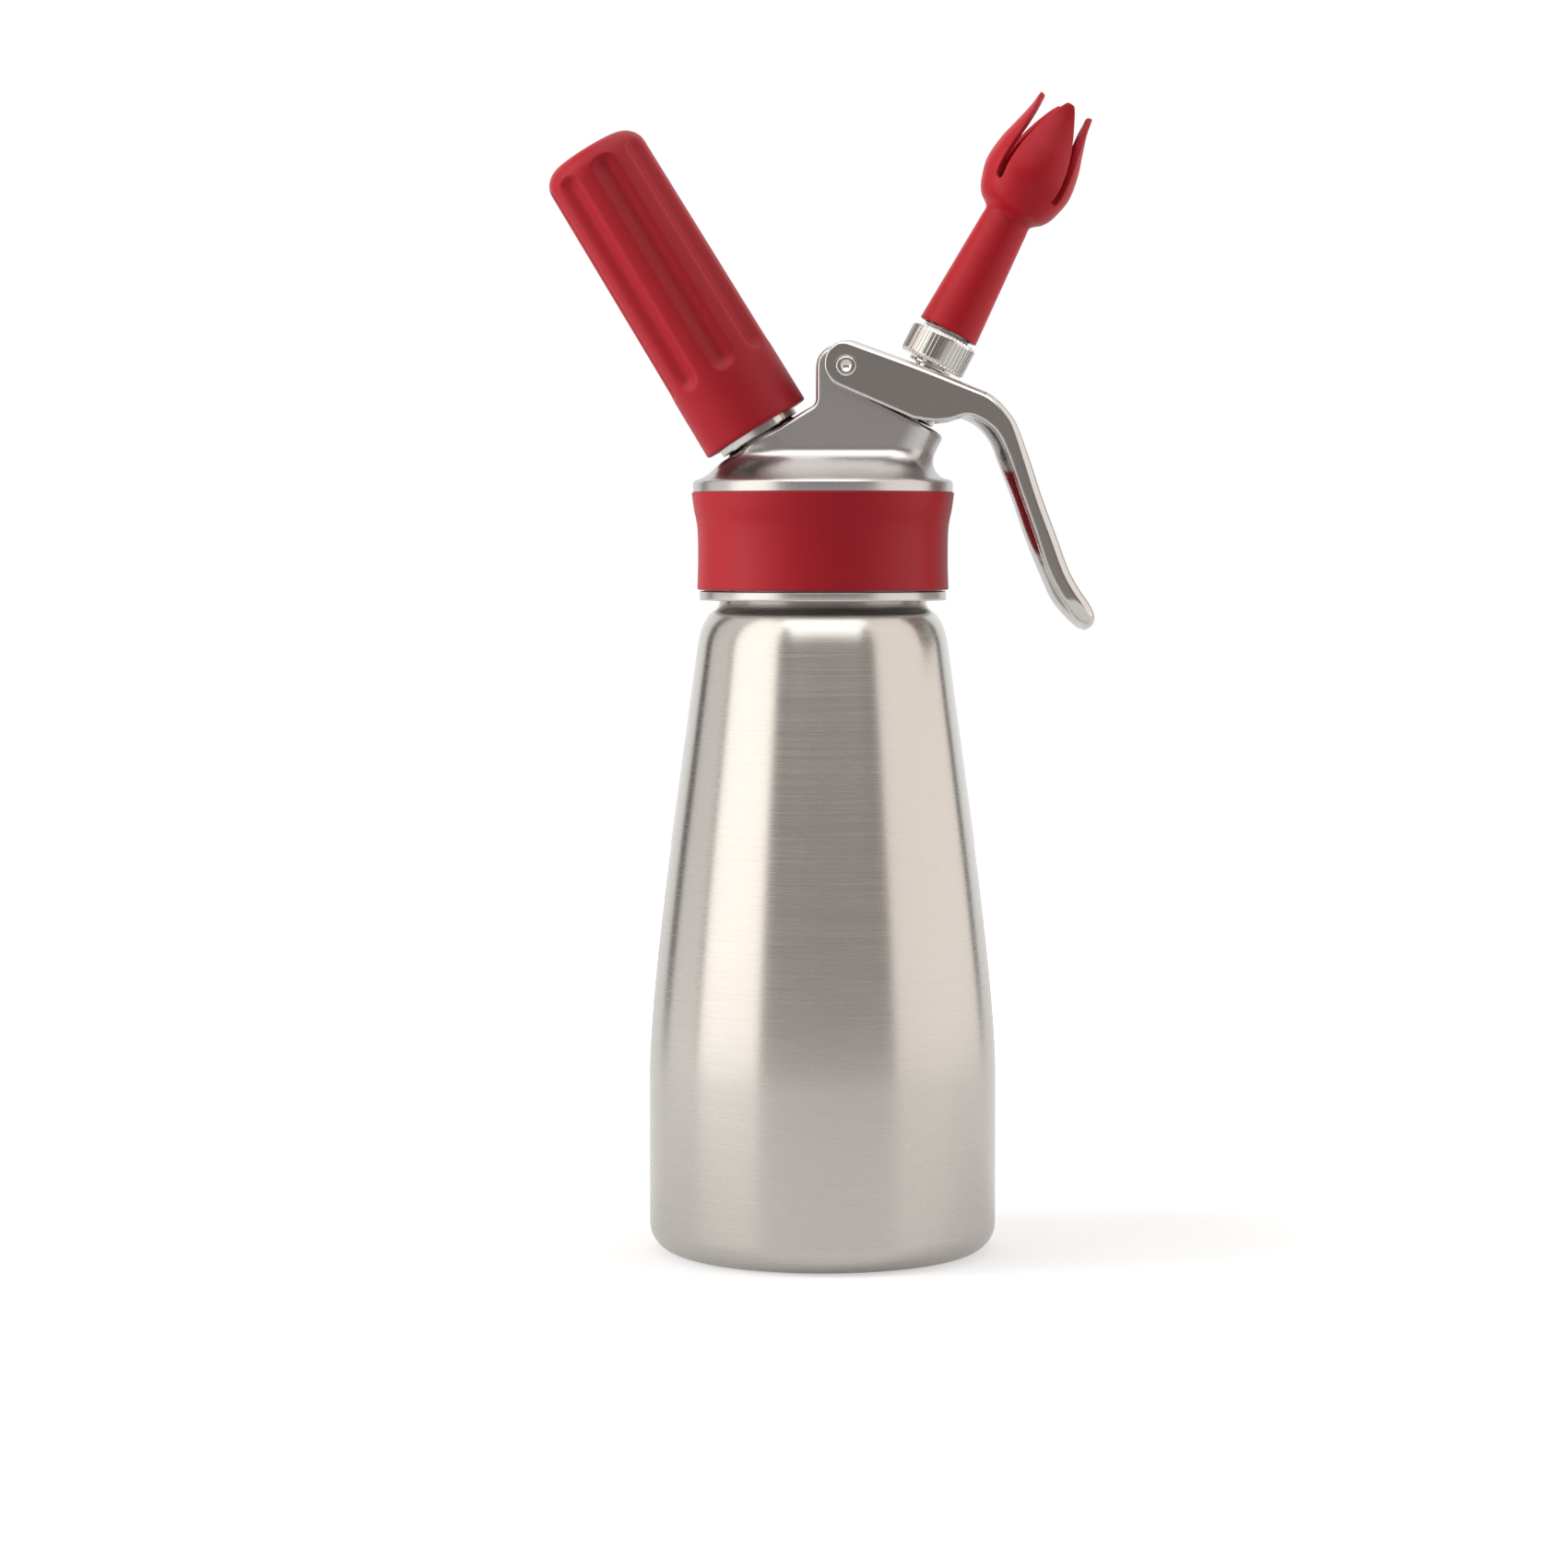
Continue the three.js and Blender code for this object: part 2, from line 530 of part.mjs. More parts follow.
// Slot in the top plate, in which the piston and its retaining ring travel
function leverSlot() {
  const slot = new THREE.Shape();
  slot.absarc(-LEVER.slotTravel, 0, LEVER.slotRadius, Math.PI / 2, (3 * Math.PI) / 2, false);
  slot.absarc(LEVER.slotTravel, 0, LEVER.slotRadius, -Math.PI / 2, Math.PI / 2, false);
  const geometry = new THREE.ExtrudeGeometry(slot, {
    depth: WASHER.start, bevelEnabled: false, curveSegments: SLAB_END_STEPS,
  });
  geometry.translate(0, 0, CUP.skirtBottom);
  return onPiston(solid(geometry));
}

// Room for the spring's cup under the top plate
function cupPocket() {
  return onPiston(revolve([
    [0, CUP.skirtBottom - OVERRUN], [CUP.radius + GAP, CUP.skirtBottom - OVERRUN],
    [CUP.radius + GAP, CUP.edgeTop + GAP], [CUP.crownRadius + GAP, CUP.crownTop + GAP], [0, CUP.crownTop + GAP],
  ], MEDIUM_SIDES));
}

function makeLever() {
  const width = 2 * (LEVER.halfGap + LEVER.cheek);
  const arm = sidePlate(leverOutline(), width, LEVER.bevel, SLAB_END_STEPS).add(leverSpine())
    .subtract(leverChannel()).intersect(leverFront(width));
  let body = arm.translate([LEVER.pivotX, 0, LEVER.pivotZ]);
  for (const cut of [leverSlot(), cupPocket(), pinHole()]) body = body.subtract(cut);
  return piece('lever', body, POLISHED);
}

function makeLeverPin() {
  const P = PIN;
  const face = LEVER.halfGap + LEVER.cheek + GAP;
  const half = [
    [P.radius, face], [P.headRadius, face], [P.headRadius, face + P.headHeight / 2],
    [P.headRadius - P.headHeight / 2, face + P.headHeight], [P.dimple, face + P.headHeight],
    [0, face + P.headHeight - P.dimpleDepth],
  ];
  const mirrored = half.map(([r, y]) => [r, -y]).reverse();
  const pin = revolve([...mirrored, ...half], SMALL_SIDES).rotate([90, 0, 0]);
  return piece('lever_pin', pin.translate([LEVER.pivotX, 0, LEVER.pivotZ]), POLISHED);
}

// Ring of rectangular section about its axis
function ring(innerRadius, outerRadius, low, high, sides) {
  return revolve([[innerRadius, low], [outerRadius, low], [outerRadius, high], [innerRadius, high]], sides);
}

function makePistonParts() {
  const hole = ROD.radius + GAP;
  const bush = ring(hole, BUSH.radius, bushLow, bushTop, SMALL_SIDES);
  const seal = ring(hole, BUSH.radius, ringLow, ringTop, SMALL_SIDES);
  const cup = revolve([
    [hole, CUP.crownTop], [hole, CUP.crownTop - CUP.wall],
    [CUP.crownRadius - CUP.wall, CUP.crownTop - CUP.wall],
    [CUP.radius - CUP.wall, CUP.edgeTop - CUP.wall], [CUP.radius - CUP.wall, CUP.skirtBottom],
    [CUP.radius, CUP.skirtBottom], [CUP.radius, CUP.edgeTop], [CUP.crownRadius, CUP.crownTop],
  ], MEDIUM_SIDES);
  const clipLow = CUP.crownTop + GAP;
  const clip = ring(ROD.radius - RETAINER.groove + GAP, RETAINER.radius, clipLow, clipLow + RETAINER.thickness,
    SMALL_SIDES);
  const footSeal = ring(hole, SEAT.radius - GAP, -SEAT.ridge - GAP - FOOT_SEAL.thickness, -SEAT.ridge - GAP,
    MEDIUM_SIDES);
  const washer = ring(hole, WASHER.radius, WASHER.start, WASHER.start + WASHER.thickness, MEDIUM_SIDES);
  return [
    piece('guide_bush', onPiston(bush), POLISHED),
    piece('rod_seal', onPiston(seal), PALE_SILICONE),
    piece('spring_cup', onPiston(cup), POLISHED),
    piece('retaining_ring', onPiston(clip), SPRING_STEEL),
    piece('valve_seal', onPiston(footSeal), PALE_SILICONE),
    piece('adapter_washer', onPiston(washer), POLISHED),
  ];
}

function makeRod() {
  const R = ROD;
  const flangeTop = -SEAT.ridge - FOOT_SEAL.thickness - 2 * GAP;
  const groove = R.radius - RETAINER.groove;
  const clipLow = CUP.crownTop;
  const clipHigh = clipLow + RETAINER.thickness + 2 * GAP;
  const outline = [
    [0, flangeTop - R.footThickness], [R.footRadius - R.footThickness / 2, flangeTop - R.footThickness],
    [R.footRadius, flangeTop - R.footThickness / 2], [R.footRadius, flangeTop], [R.radius, flangeTop],
    [R.radius, clipLow], [groove, clipLow], [groove, clipHigh], [R.radius, clipHigh], [R.radius, R.top],
    [R.boreRadius, R.top], [R.boreRadius, flangeTop], [0, flangeTop - R.footThickness / 2],
  ];
  const ports = rod(R.portRadius, -SEAT.radius, SEAT.radius, SMALL_SIDES / 2).rotate([90, 0, 0]);
  const body = revolve(outline, MEDIUM_SIDES / 2).subtract(ports.translate([0, 0, -SEAT.ridge + R.portRadius]));
  return piece('piston_rod', onPiston(body), POLISHED);
}

// Unbroken helix of the return spring between the bush's shoulder and the cup's crown
function makeSpring() {
  const S = SPRING;
  const low = -BOSS.counterDepth + GAP + S.wire / 2;
  const high = CUP.crownTop - CUP.wall - GAP - S.wire / 2;
  const steps = S.coils * S.stepsPerTurn;
  const points = [];
  for (let i = 0; i <= steps; i += 1) {
    const turn = (2 * Math.PI * i) / S.stepsPerTurn;
    const reach = S.radius;
    points.push(new THREE.Vector3(reach * Math.cos(turn), reach * Math.sin(turn), low + ((high - low) * i) / steps));
  }
  const place = [];
  for (const [i, p] of points.entries()) {
    const next = points[Math.min(i + 1, steps)];
    const before = points[Math.max(i - 1, 0)];
    const along = next.clone().sub(before).normalize();
    const out = new THREE.Vector3(p.x, p.y, 0).normalize();
    const side = along.clone().cross(out).normalize();
    for (let k = 0; k < S.sides; k += 1) {
      const turn = (2 * Math.PI * k) / S.sides;
      const offset = out.clone().multiplyScalar((Math.cos(turn) * S.wire) / 2);
      offset.addScaledVector(side, (Math.sin(turn) * S.wire) / 2);
      place.push(p.x + offset.x, p.y + offset.y, p.z + offset.z);
    }
  }
  const rise = (high - low) / S.coils;
  const pitch = rise * Math.cos(Math.atan(rise / (2 * Math.PI * S.radius)));
  console.log(`piston_spring least gap to itself ${(pitch - S.wire).toFixed(2)} mm`);
  return piece('piston_spring', onPiston(tubeSolid(place, S.sides)), SPRING_STEEL);
}

// Closed tube from rings of corners that follow each other
function tubeSolid(place, sides) {
  const rings = place.length / 3 / sides;
  const index = [];
  for (let i = 0; i + 1 < rings; i += 1) {
    for (let k = 0; k < sides; k += 1) {
      const [a, b] = [i * sides + k, i * sides + ((k + 1) % sides)];
      index.push(a, b, b + sides, a, b + sides, a + sides);
    }
  }
  const last = (rings - 1) * sides;
  for (let k = 1; k + 1 < sides; k += 1) {
    index.push(0, k + 1, k);
    index.push(last, last + k, last + k + 1);
  }
  const geometry = new THREE.BufferGeometry();
  geometry.setAttribute('position', new THREE.BufferAttribute(new Float32Array(place), 3));
  geometry.setIndex(index);
  return solid(geometry);
}

// Fluted ring of the adapter, chamfered by the extrusion's bevel
function adapterRing() {
  const A = ADAPTER;
  const shape = new THREE.Shape();
  for (let i = 0; i < 2 * A.flutes; i += 1) {
    const turn = (Math.PI * i) / A.flutes;
    const reach = A.ringRadius - (i % 2) * A.fluteDepth;
    const [x, y] = [reach * Math.cos(turn), reach * Math.sin(turn)];
    if (i === 0) shape.moveTo(x, y);
    else shape.lineTo(x, y);
  }
  shape.closePath();
  const geometry = new THREE.ExtrudeGeometry(shape, {
    depth: A.ringTop - A.start - 2 * A.chamfer,
    bevelSize: A.chamfer, bevelThickness: A.chamfer, bevelOffset: -A.chamfer, bevelSegments: 1,
  });
  geometry.translate(0, 0, A.start + A.chamfer);
  return solid(geometry);
}

function makeAdapter() {
  const A = ADAPTER;
  const spigot = rod(A.spigotRadius, A.ringTop - A.chamfer, A.spigotTop, MEDIUM_SIDES);
  const socket = rod(ROD.radius + A.threadAllowance, A.start - OVERRUN, ROD.top + GAP, MEDIUM_SIDES / 2);
  const bore = rod(A.boreRadius, A.start, A.spigotTop + OVERRUN, MEDIUM_SIDES / 2);
  const body = adapterRing().add(spigot).subtract(socket).subtract(bore);
  return piece('tip_adapter', onPiston(body), POLISHED);
}

// Thread insert, its pocket in the tip, and the seal under the tip
const insertInner = ADAPTER.spigotRadius + ADAPTER.threadAllowance;
const insertOuter = insertInner + INSERT.wall;
const pocketTop = ADAPTER.spigotTop + INSERT.overlap + GAP;

function makeTipInsert() {
  const body = ring(insertInner, insertOuter, TIP.start + GAP, pocketTop - GAP, MEDIUM_SIDES / 2);
  return piece('tip_thread_insert', onPiston(body), POLISHED);
}

function makeTipSeal() {
  const low = ADAPTER.ringTop + GAP;
  const body = ring(insertInner, insertOuter, low, low + TIP_SEAL.thickness, MEDIUM_SIDES / 2);
  return piece('tip_seal', onPiston(body), PALE_SILICONE);
}

// Points of the tip's bulb, drawn in by an inset for the inside
function bulbPoints(inset) {
  const rise = TIP.petalTip - TIP.stemTop;
  return bulbShares.map(([up, out]) => [TIP.bulbRadius * out - inset, TIP.stemTop + rise * up]);
}

// Wedge between two petals: a narrow slit that opens to the petals' pointed tips
function petalWedge(turn) {
  const rise = TIP.petalTip - TIP.slitStart;
  const wide = TIP.bulbRadius * bulbShares.at(-1)[1] * Math.sin(Math.PI / TIP.petals) - TIP.petalPoint;
  const edge = new THREE.QuadraticBezierCurve(
    vec(TIP.slitWidth / 2, TIP.slitStart), vec(TIP.slitWidth, TIP.slitStart + rise / 2),
    vec(wide, TIP.petalTip),
  ).getPoints(CORNER_STEPS);
  const shape = new THREE.Shape();
  shape.moveTo(0, TIP.slitStart - TIP.slitWidth);
  for (const p of edge) shape.lineTo(p.x, p.y);
  shape.lineTo(wide + TIP.slitWidth, TIP.petalTip + OVERRUN);
  shape.lineTo(-wide - TIP.slitWidth, TIP.petalTip + OVERRUN);
  for (const p of edge.reverse()) shape.lineTo(-p.x, p.y);
  shape.closePath();
  const geometry = new THREE.ExtrudeGeometry(shape, { depth: 2 * TIP.bulbRadius, bevelEnabled: false });
  geometry.rotateX(Math.PI / 2);
  return solid(geometry).rotate([0, 0, turn]);
}

function makeTip() {
  const T = TIP;
  const bulbOut = bulbPoints(0);
  const bulbIn = bulbPoints(T.wall).slice(1).reverse();
  const outline = [
    [insertOuter + GAP, T.start], [T.baseRadius, T.start], [T.stemTopRadius, T.stemTop], ...bulbOut, ...bulbIn,
    [T.channelRadius, T.stemTop + T.wall], [T.channelRadius, pocketTop], [insertOuter + GAP, pocketTop],
  ];
  let body = revolve(outline, MEDIUM_SIDES);
  for (let i = 0; i < T.petals; i += 1) {
    body = body.subtract(petalWedge(T.petalTurn + (360 * (i + 0.5)) / T.petals));
  }
  return piece('tulip_tip', onPiston(body), RED_PLASTIC);
}

// Charger side
const chargerTop = CHARGER.start + CHARGER.length;
const shellInnerTop = chargerTop + SHELL.endClearance;
const shellTop = shellInnerTop + SHELL.endWall;
const shellRadius = SHELL.innerRadius + SHELL.wall;

function makeShell() {
  const S = SHELL;
  const outer = arc(shellRadius - S.bend, shellTop - S.bend, S.bend, 0, 90, CORNER_STEPS);
  const inner = arc(S.innerRadius - S.bend, shellInnerTop - S.bend, S.bend, 90, 0, CORNER_STEPS);
  const body = revolve([
    [S.innerRadius, S.rimStart], [shellRadius, S.rimStart], ...outer, [0, shellTop],
    [0, shellInnerTop], ...inner,
  ], MEDIUM_SIDES);
  return piece('charger_holder', onHolder(body), POLISHED);
}

// Charger with its pierced neck; the hole opens the space inside
function makeCharger() {
  const C = CHARGER;
  const w = C.wall;
  const neckTop = C.start + C.neckLength;
  const shoulderTop = neckTop + C.shoulderLength;
  const endR = C.bodyRadius - C.endRadius;
  const endZ = chargerTop - C.endRadius;
  const outerEnd = arc(endR, endZ, C.endRadius, 0, 90, INNER_STEPS);
  const innerEnd = arc(endR, endZ, C.endRadius - w, 90, 0, INNER_STEPS);
  const body = revolve([
    [C.pierceRadius, C.start], [C.neckRadius, C.start], [C.neckRadius, neckTop], [C.bodyRadius, shoulderTop],
    ...outerEnd, [0, chargerTop], [0, chargerTop - w], ...innerEnd,
    [C.bodyRadius - w, shoulderTop + w / 2], [C.neckRadius - w, neckTop + w / 2],
    [C.neckRadius - w, C.start + w],
    [C.pierceRadius, C.start + w],
  ], MEDIUM_SIDES);
  return piece('gas_charger', onHolder(body), POLISHED);
}

const gripTop = shellTop + GRIP.endWall;

// Radius of the grip at a height, tapering from base to top
function gripRadius(height) {
  const G = GRIP;
  return G.baseRadius + ((G.topRadius - G.baseRadius) * (height - G.start)) / (gripTop - G.start);
}

// How deep the flute is at a turn round the grip, from 0 on a rib to 1 in a valley
function fluteShare(turn) {
  const wave = Math.cos(GRIP.flutes * (turn + rad(90 - GRIP.fluteTurn)));
  return Math.max(0, wave) ** FLUTE_POWER;
}

// Rows of the grip's fluted outside as [radius, height, flute depth], from its base to its top
function gripRows() {
  const G = GRIP;
  const shoulder = gripTop - G.edgeRadius;
  const rows = [[G.baseRadius, G.start, 0]];
  for (const height of [G.fluteEnd - G.fluteEndLength, G.fluteEnd]) rows.push([gripRadius(height), height, 0]);
  const full = G.fluteEnd + G.fluteEndLength / 2;
  rows.push([gripRadius(full), full, G.fluteDepth * FLUTE_END_SHARE]);
  for (const share of gripSideShares) {
    const height = full + (shoulder - full) * share;
    rows.push([gripRadius(height), height, G.fluteDepth]);
  }
  for (const turn of gripEdgeTurns.map(rad)) {
    const reach = gripRadius(gripTop) - G.edgeRadius + G.edgeRadius * Math.cos(turn);
    rows.push([reach, shoulder + G.edgeRadius * Math.sin(turn), G.fluteDepth * Math.cos(turn)]);
  }
  rows.push([gripRadius(gripTop) - G.edgeRadius, gripTop, 0]);
  return rows;
}

// Grip: fluted outside and plain inside, each closed over the shell's end
function makeGrip() {
  const inner = shellRadius + GAP;
  const innerTop = shellTop + GAP;
  const bend = SHELL.bend + GAP;
  const inside = arc(inner - bend, innerTop - bend, bend, 0, 90, CORNER_STEPS).map(([r, z]) => [r, z, 0]);
  const outside = rowSolid(gripRows());
  const hollow = rowSolid([[inner, GRIP.start - OVERRUN, 0], ...inside]);
  return piece('charger_grip', onHolder(outside.subtract(hollow)), RED_SILICONE);
}

// Closed solid from rows of [radius, height, flute depth] that climb, with a flat base and top
function rowSolid(rows) {
  const around = SAMPLES_PER_FLUTE * GRIP.flutes;
  const place = [];
  for (const [radius, height, depth] of rows) {
    for (let i = 0; i < around; i += 1) {
      const turn = (2 * Math.PI * i) / around;
      const reach = radius - depth * fluteShare(turn);
      place.push(reach * Math.cos(turn), reach * Math.sin(turn), height);
    }
  }
  return tubeSolid(place, around);
}

function makeGasParts() {
  const P = PIERCER;
  const body = revolve([
    [P.gasRadius, P.bodyStart], [NIPPLE.boreRadius - P.bodyClearance, P.bodyStart],
    [NIPPLE.boreRadius - P.bodyClearance, P.bodyTop], [P.pinRadius, P.bodyTop],
    [P.pinRadius, P.pinTip - P.pinCone], [P.gasRadius + P.tipWall, P.pinTip], [P.gasRadius, P.pinTip],
  ], SMALL_SIDES);
  const sealLow = P.bodyTop + GAP;
  const seal = ring(CHARGER_SEAL.innerRadius, NIPPLE.boreRadius - P.bodyClearance, sealLow,
    sealLow + CHARGER_SEAL.height, SMALL_SIDES);
  const V = CHECK_VALVE;
  const ceiling = -gasDepth;
  const stem = NIPPLE.gasBoreRadius - GAP;
  const lowest = ceiling - NIPPLE.gasBoreRadius - V.capThickness;
  const valve = revolve([
    [0, lowest - V.capThickness], [V.capRadius, lowest - V.capThickness / 2], [V.capRadius, lowest],
    [stem, lowest], [stem, ceiling + V.stemLength], [0, ceiling + V.stemLength],
  ], SMALL_SIDES);
  return [
    piece('piercing_pin', onHolder(body), POLISHED),
    piece('charger_seal', onHolder(seal), PALE_SILICONE),
    piece('check_valve', onHolder(valve), PALE_SILICONE),
  ];
}

const dispenser = new THREE.Group();
dispenser.add(makeBottle(), makeGasket(), makeHeadBody(), makeHeatCollar(), makeLever(), makeLeverPin());
dispenser.add(makeRod(), ...makePistonParts(), makeSpring(), makeAdapter());
dispenser.add(makeTipSeal(), makeTipInsert(), makeTip());
dispenser.add(makeShell(), makeGrip(), makeCharger(), ...makeGasParts());

export default dispenser;
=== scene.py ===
# Looks of a whipped cream dispenser: brushed steel bottle, cast steel head with a squeeze
# lever, red silicone collar and charger grip, fluted steel adapter and red tulip tip.
# Shapes are worked out in millimetres about their own axis and stored in metres.

import math

import bpy
import numpy as np
from mathutils import Euler, Matrix, Vector


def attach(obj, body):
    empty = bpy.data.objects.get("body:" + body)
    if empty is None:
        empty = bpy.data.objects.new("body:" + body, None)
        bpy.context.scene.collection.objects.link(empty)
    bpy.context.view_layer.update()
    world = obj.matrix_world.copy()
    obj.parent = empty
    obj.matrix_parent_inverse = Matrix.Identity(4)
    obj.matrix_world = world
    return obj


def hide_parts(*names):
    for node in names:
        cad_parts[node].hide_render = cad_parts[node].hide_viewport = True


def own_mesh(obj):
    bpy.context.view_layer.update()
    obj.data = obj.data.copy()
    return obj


MM = 0.001
TAU = 2 * math.pi
HALF_TURN = 0.5

# Photograph and camera
PHOTO = 1701
FOCAL_PX = 4360
SENSOR = 36
CAMERA_PLACE = (-9.4, -974, 172)
CAMERA_PITCH = 3.445
CLIP_NEAR, CLIP_FAR = 0.05, 20

# Leaning axes of the head: foot in the head's frame and lean from upright in degrees
HOLDER_FOOT, HOLDER_LEAN = (-14.76, 0, 197.18), -31.4
PISTON_FOOT, PISTON_LEAN = (19.55, 0, 202.5), 27.7
CLIMB, FALL = math.tan(math.radians(-HOLDER_LEAN)), math.tan(math.radians(PISTON_LEAN))

# Facets round a turned piece, and angles in degrees above which its edges stay sharp
ROUND, MIDDLE_ROUND, SMALL_ROUND, LEAST_ROUND = 160, 96, 72, 48
SHARP, SHARP_KNURL, SHARP_GRIP, SHARP_SOFT, NEVER_SHARP = 32, 38, 45, 60, 180

# Small edges and fillets, fine tolerances, and the steps between rows of corners
FAINT, TINY, THIN, FINE, SLIM, EDGE = 0.05, 0.1, 0.15, 0.2, 0.25, 0.3
SMOOTH, SOFT, BROAD, WIDE, DEEP = 0.4, 0.5, 0.7, 1, 2
HAIR, NIL, FAR = 0.01, 1e-12, 1e9
ROW_STEP, FINE_ROW, SPIGOT_ROW, PROFILE_STEP, FINE_STEP = 0.3, 0.25, 0.15, 0.15, 0.1
SAMPLE_MARGIN, LAST_GAP = 8, 0.001
CORNER_SHARE, NUDGE_SHARE, MOVE_SHARE, LEAST_SLOPE = 0.45, 0.1, 0.4, 0.2

# Room, floor and backdrop, in metres and linear shares of light
WHITE = EVEN = (1, 1, 1)
ROOM_LIGHT, ROOM_COLOUR = 0.265, (1, 0.91, 0.885)
FLOOR_REACH, FLOOR_ROUGH = 3, 0.9
# The floor glows with painted light: FLOOR_GLOW near the object, rising to full beyond FLOOR_FAR, so the
# floor is darker near the object
FLOOR_SHADE, FLOOR_GLOW, FLOOR_NEAR, FLOOR_FAR = 0.5, 0.5, 0.1, 0.5
# Painted sheen: a floor glow that only reflections see, weaker near the object, which darkens the steel's
# reflections of the near floor
SHEEN_NEAR, SHEEN_FAR = 0.24, 0.36
WALL_HALF, WALL_PLACE, WALL_LOW, WALL_HIGH, WALL_SHADE = 1.25, 1.3, -0.2, 2.4, 0.8

# Upright softboxes: bearing, spread, distance, height, radiance and colour; the keys light only
# dull surfaces, and the flags, with bearing and spread, show only as dark strips in the steel
LAMP_SINK = 0.05
SOFTBOXES = {
    "left softbox": (66, 47, 1.2, 2, 1.55, (1, 0.975, 0.93)),
    "left rear softbox": (109, 30, 1.25, 2, 0.62, (1, 0.985, 0.97)),
    "right softbox": (-88, 80, 1.1, 2, 0.93, (1, 0.947, 0.892)),
}
KEYS = {"left key": (80, 24, 1.3, 1.2, 7, WHITE), "right key": (-88, 24, 1.3, 1.2, 3, WHITE)}
FLAGS = {"left flag": (129, 10), "right flag": (-132, 8)}
FLAG_DISTANCE, FLAG_LOW, FLAG_HIGH, FLAG_SHADE = 1.15, -0.05, 2, 0.02

# Flat lamps: size, place, aim and radiance
TOP_SOFTBOX = ((1.3, 1.2), (0, 0.1, 1.6), (0, 0, 0.1), 1.1)
FRONT_SOFTBOX = ((1.6, 1.05), (0.04, -0.85, 1.2), (0, 0, 0.2), 1.85)
TOP_KEY = ((0.8, 0.8), (-0.1, 0, 1.5), (0, 0, 0.2), 1.6)

# Steels: colour, least and most roughness, stretch, scale and depth of the grain, brushing
STEELS = {
    "brushed steel": ((0.6, 0.572, 0.54), 0.23, 0.29, (22, 22, 3600), 1, 0.02, 0.65),
    "satin cast steel": ((0.575, 0.557, 0.545), 0.26, 0.32, EVEN, 5000, 0.01, 0),
    "polished steel": ((0.62, 0.605, 0.585), 0.13, 0.17, EVEN, 4000, 0.005, 0),
    "turned steel": ((0.7, 0.685, 0.665), 0.08, 0.12, (1, 1, 4), 3000, 0.005, 0),
    "spring steel": ((0.52, 0.51, 0.5), 0.22, 0.3, EVEN, 3000, 0.01, 0),
}
NOISE_LOW, NOISE_HIGH = 0.3, 0.7
CLOUD_SCALE, NOISE_ROUGH, BRUSH_TURN, STEEL_DENT = 60, 0.6, 0.25, 0.0002

# Soft materials: colour, roughness and depth of the grain
SOFTS = {
    "red silicone": ((0.36, 0.005, 0.014), 0.46, 0.08),
    "red plastic": ((0.42, 0.004, 0.014), 0.4, 0.05),
    "pale silicone": ((0.7, 0.68, 0.62), 0.5, 0.05),
    "pale seal": ((0.66, 0.64, 0.58), 0.5, 0.05),
}
SOFT_SPECULAR, GRAIN_SCALE, GRAIN_SHADE, GRAIN_DENT = 0.26, 2600, 0.88, 0.0001
ROUGH_LESS, ROUGH_MORE = 0.04, 0.05

# Bottle
BOTTLE_RADIUS, BOTTLE_WALL, BOTTLE_FLOOR, CORNER = 42.1, 1.2, 1.6, 6.6
RECESS_RADIUS, RECESS_DEPTH, RECESS_SLOPE = 29.4, 1, 2.4
STRAIGHT_TOP, TAPER_START, TAPER_BULGE = 43, 58.6, 0.15
SHOULDER_RADIUS, SHOULDER_START, SHOULDER_TOP, SHOULDER_REACH = 30.3, 146.8, 155.5, 26.2
SHOULDER_DIP = 1.2
NECK_RADIUS, NECK_FILLET, NECK_START, RIM = 25, 156.2, 158, 176
THREAD_LOW, THREAD_HIGH, THREAD_DEPTH, THREAD_PITCH = 160.5, 173.5, 1.5, 3
NECK_LOW, NECK_HIGH = 158.5, 175

# Head
SKIRT_BOTTOM, SKIRT_RADIUS, SKIRT_HEIGHT, SKIRT_LEAD = 158, 29.8, 2.2, 0.6
SKIRT_EDGES = [0, 0.45, 0.35, 0.2, 0.2, 0.4]
BARREL_RADIUS, CUP_RADIUS = 28.7, 27.3
CAVITY_RADIUS, CAVITY_TOP, GASKET_TOP = 19, 183, 179.6
CUP_ROWS_HIGH, CUP_ROWS_LOW, CUP_THREAD_LOW, CUP_THREAD_HIGH = 179.1, 158.8, 159, 177.6
RIM_BOTTOM, RIM_RADIUS, RIM_CORNER = 184.3, 31.4, 1.1
COVE_RADIUS, COVE_START, COVE_HEIGHT = 30.6, 187, 7.6
SLAB_HALF, HEEL, LEFT_BEND, RIGHT_BEND = 9, 13.3, 13.5, 10.5
SLAB_EDGE, SLAB_SINK, TRIM_MARGIN = 1.1, 1.4, 6
TRIM_STEP, CASTING_STEP, CASTING_REACH = 0.2, 0.4, 33
COUNTER_RADIUS, COUNTER_DEPTH, COUNTER_EDGE = 8, 8.6, 0.35
NIPPLE_RADIUS, NIPPLE_HEIGHT, NIPPLE_BORE = 8.6, 17, 4.8
NIPPLE_MIDDLE, NIPPLE_EDGE, NIPPLE_FILLET, NIPPLE_LOW, NIPPLE_THREAD = 5, 0.6, 1.2, 2, 0.6
PIVOT = (5.4, 213.9)
LUG_REAR, LUG_BEND, LUG_RADIUS, LUG_FOOT, LUG_FRONT = 7.1, 5.2, 4.4, 1.2, 1.5
PIN_RADIUS, PIN_CLEARANCE, PIN_HEAD, PIN_HEIGHT = 2, 0.25, 2.4, 0.6
DIMPLE_OUTER, DIMPLE_RADIUS, DIMPLE_LIP, DIMPLE_FLOOR, DIMPLE_DEPTH = 1.3, 1.15, 0.12, 0.6, 0.5
PISTON_REACH, HOLDER_PITCH, TIP_PITCH = 10.8, 2, 1.25
GASKET_THICK, GASKET_INNER, GASKET_GAP = 3, 20, 0.5

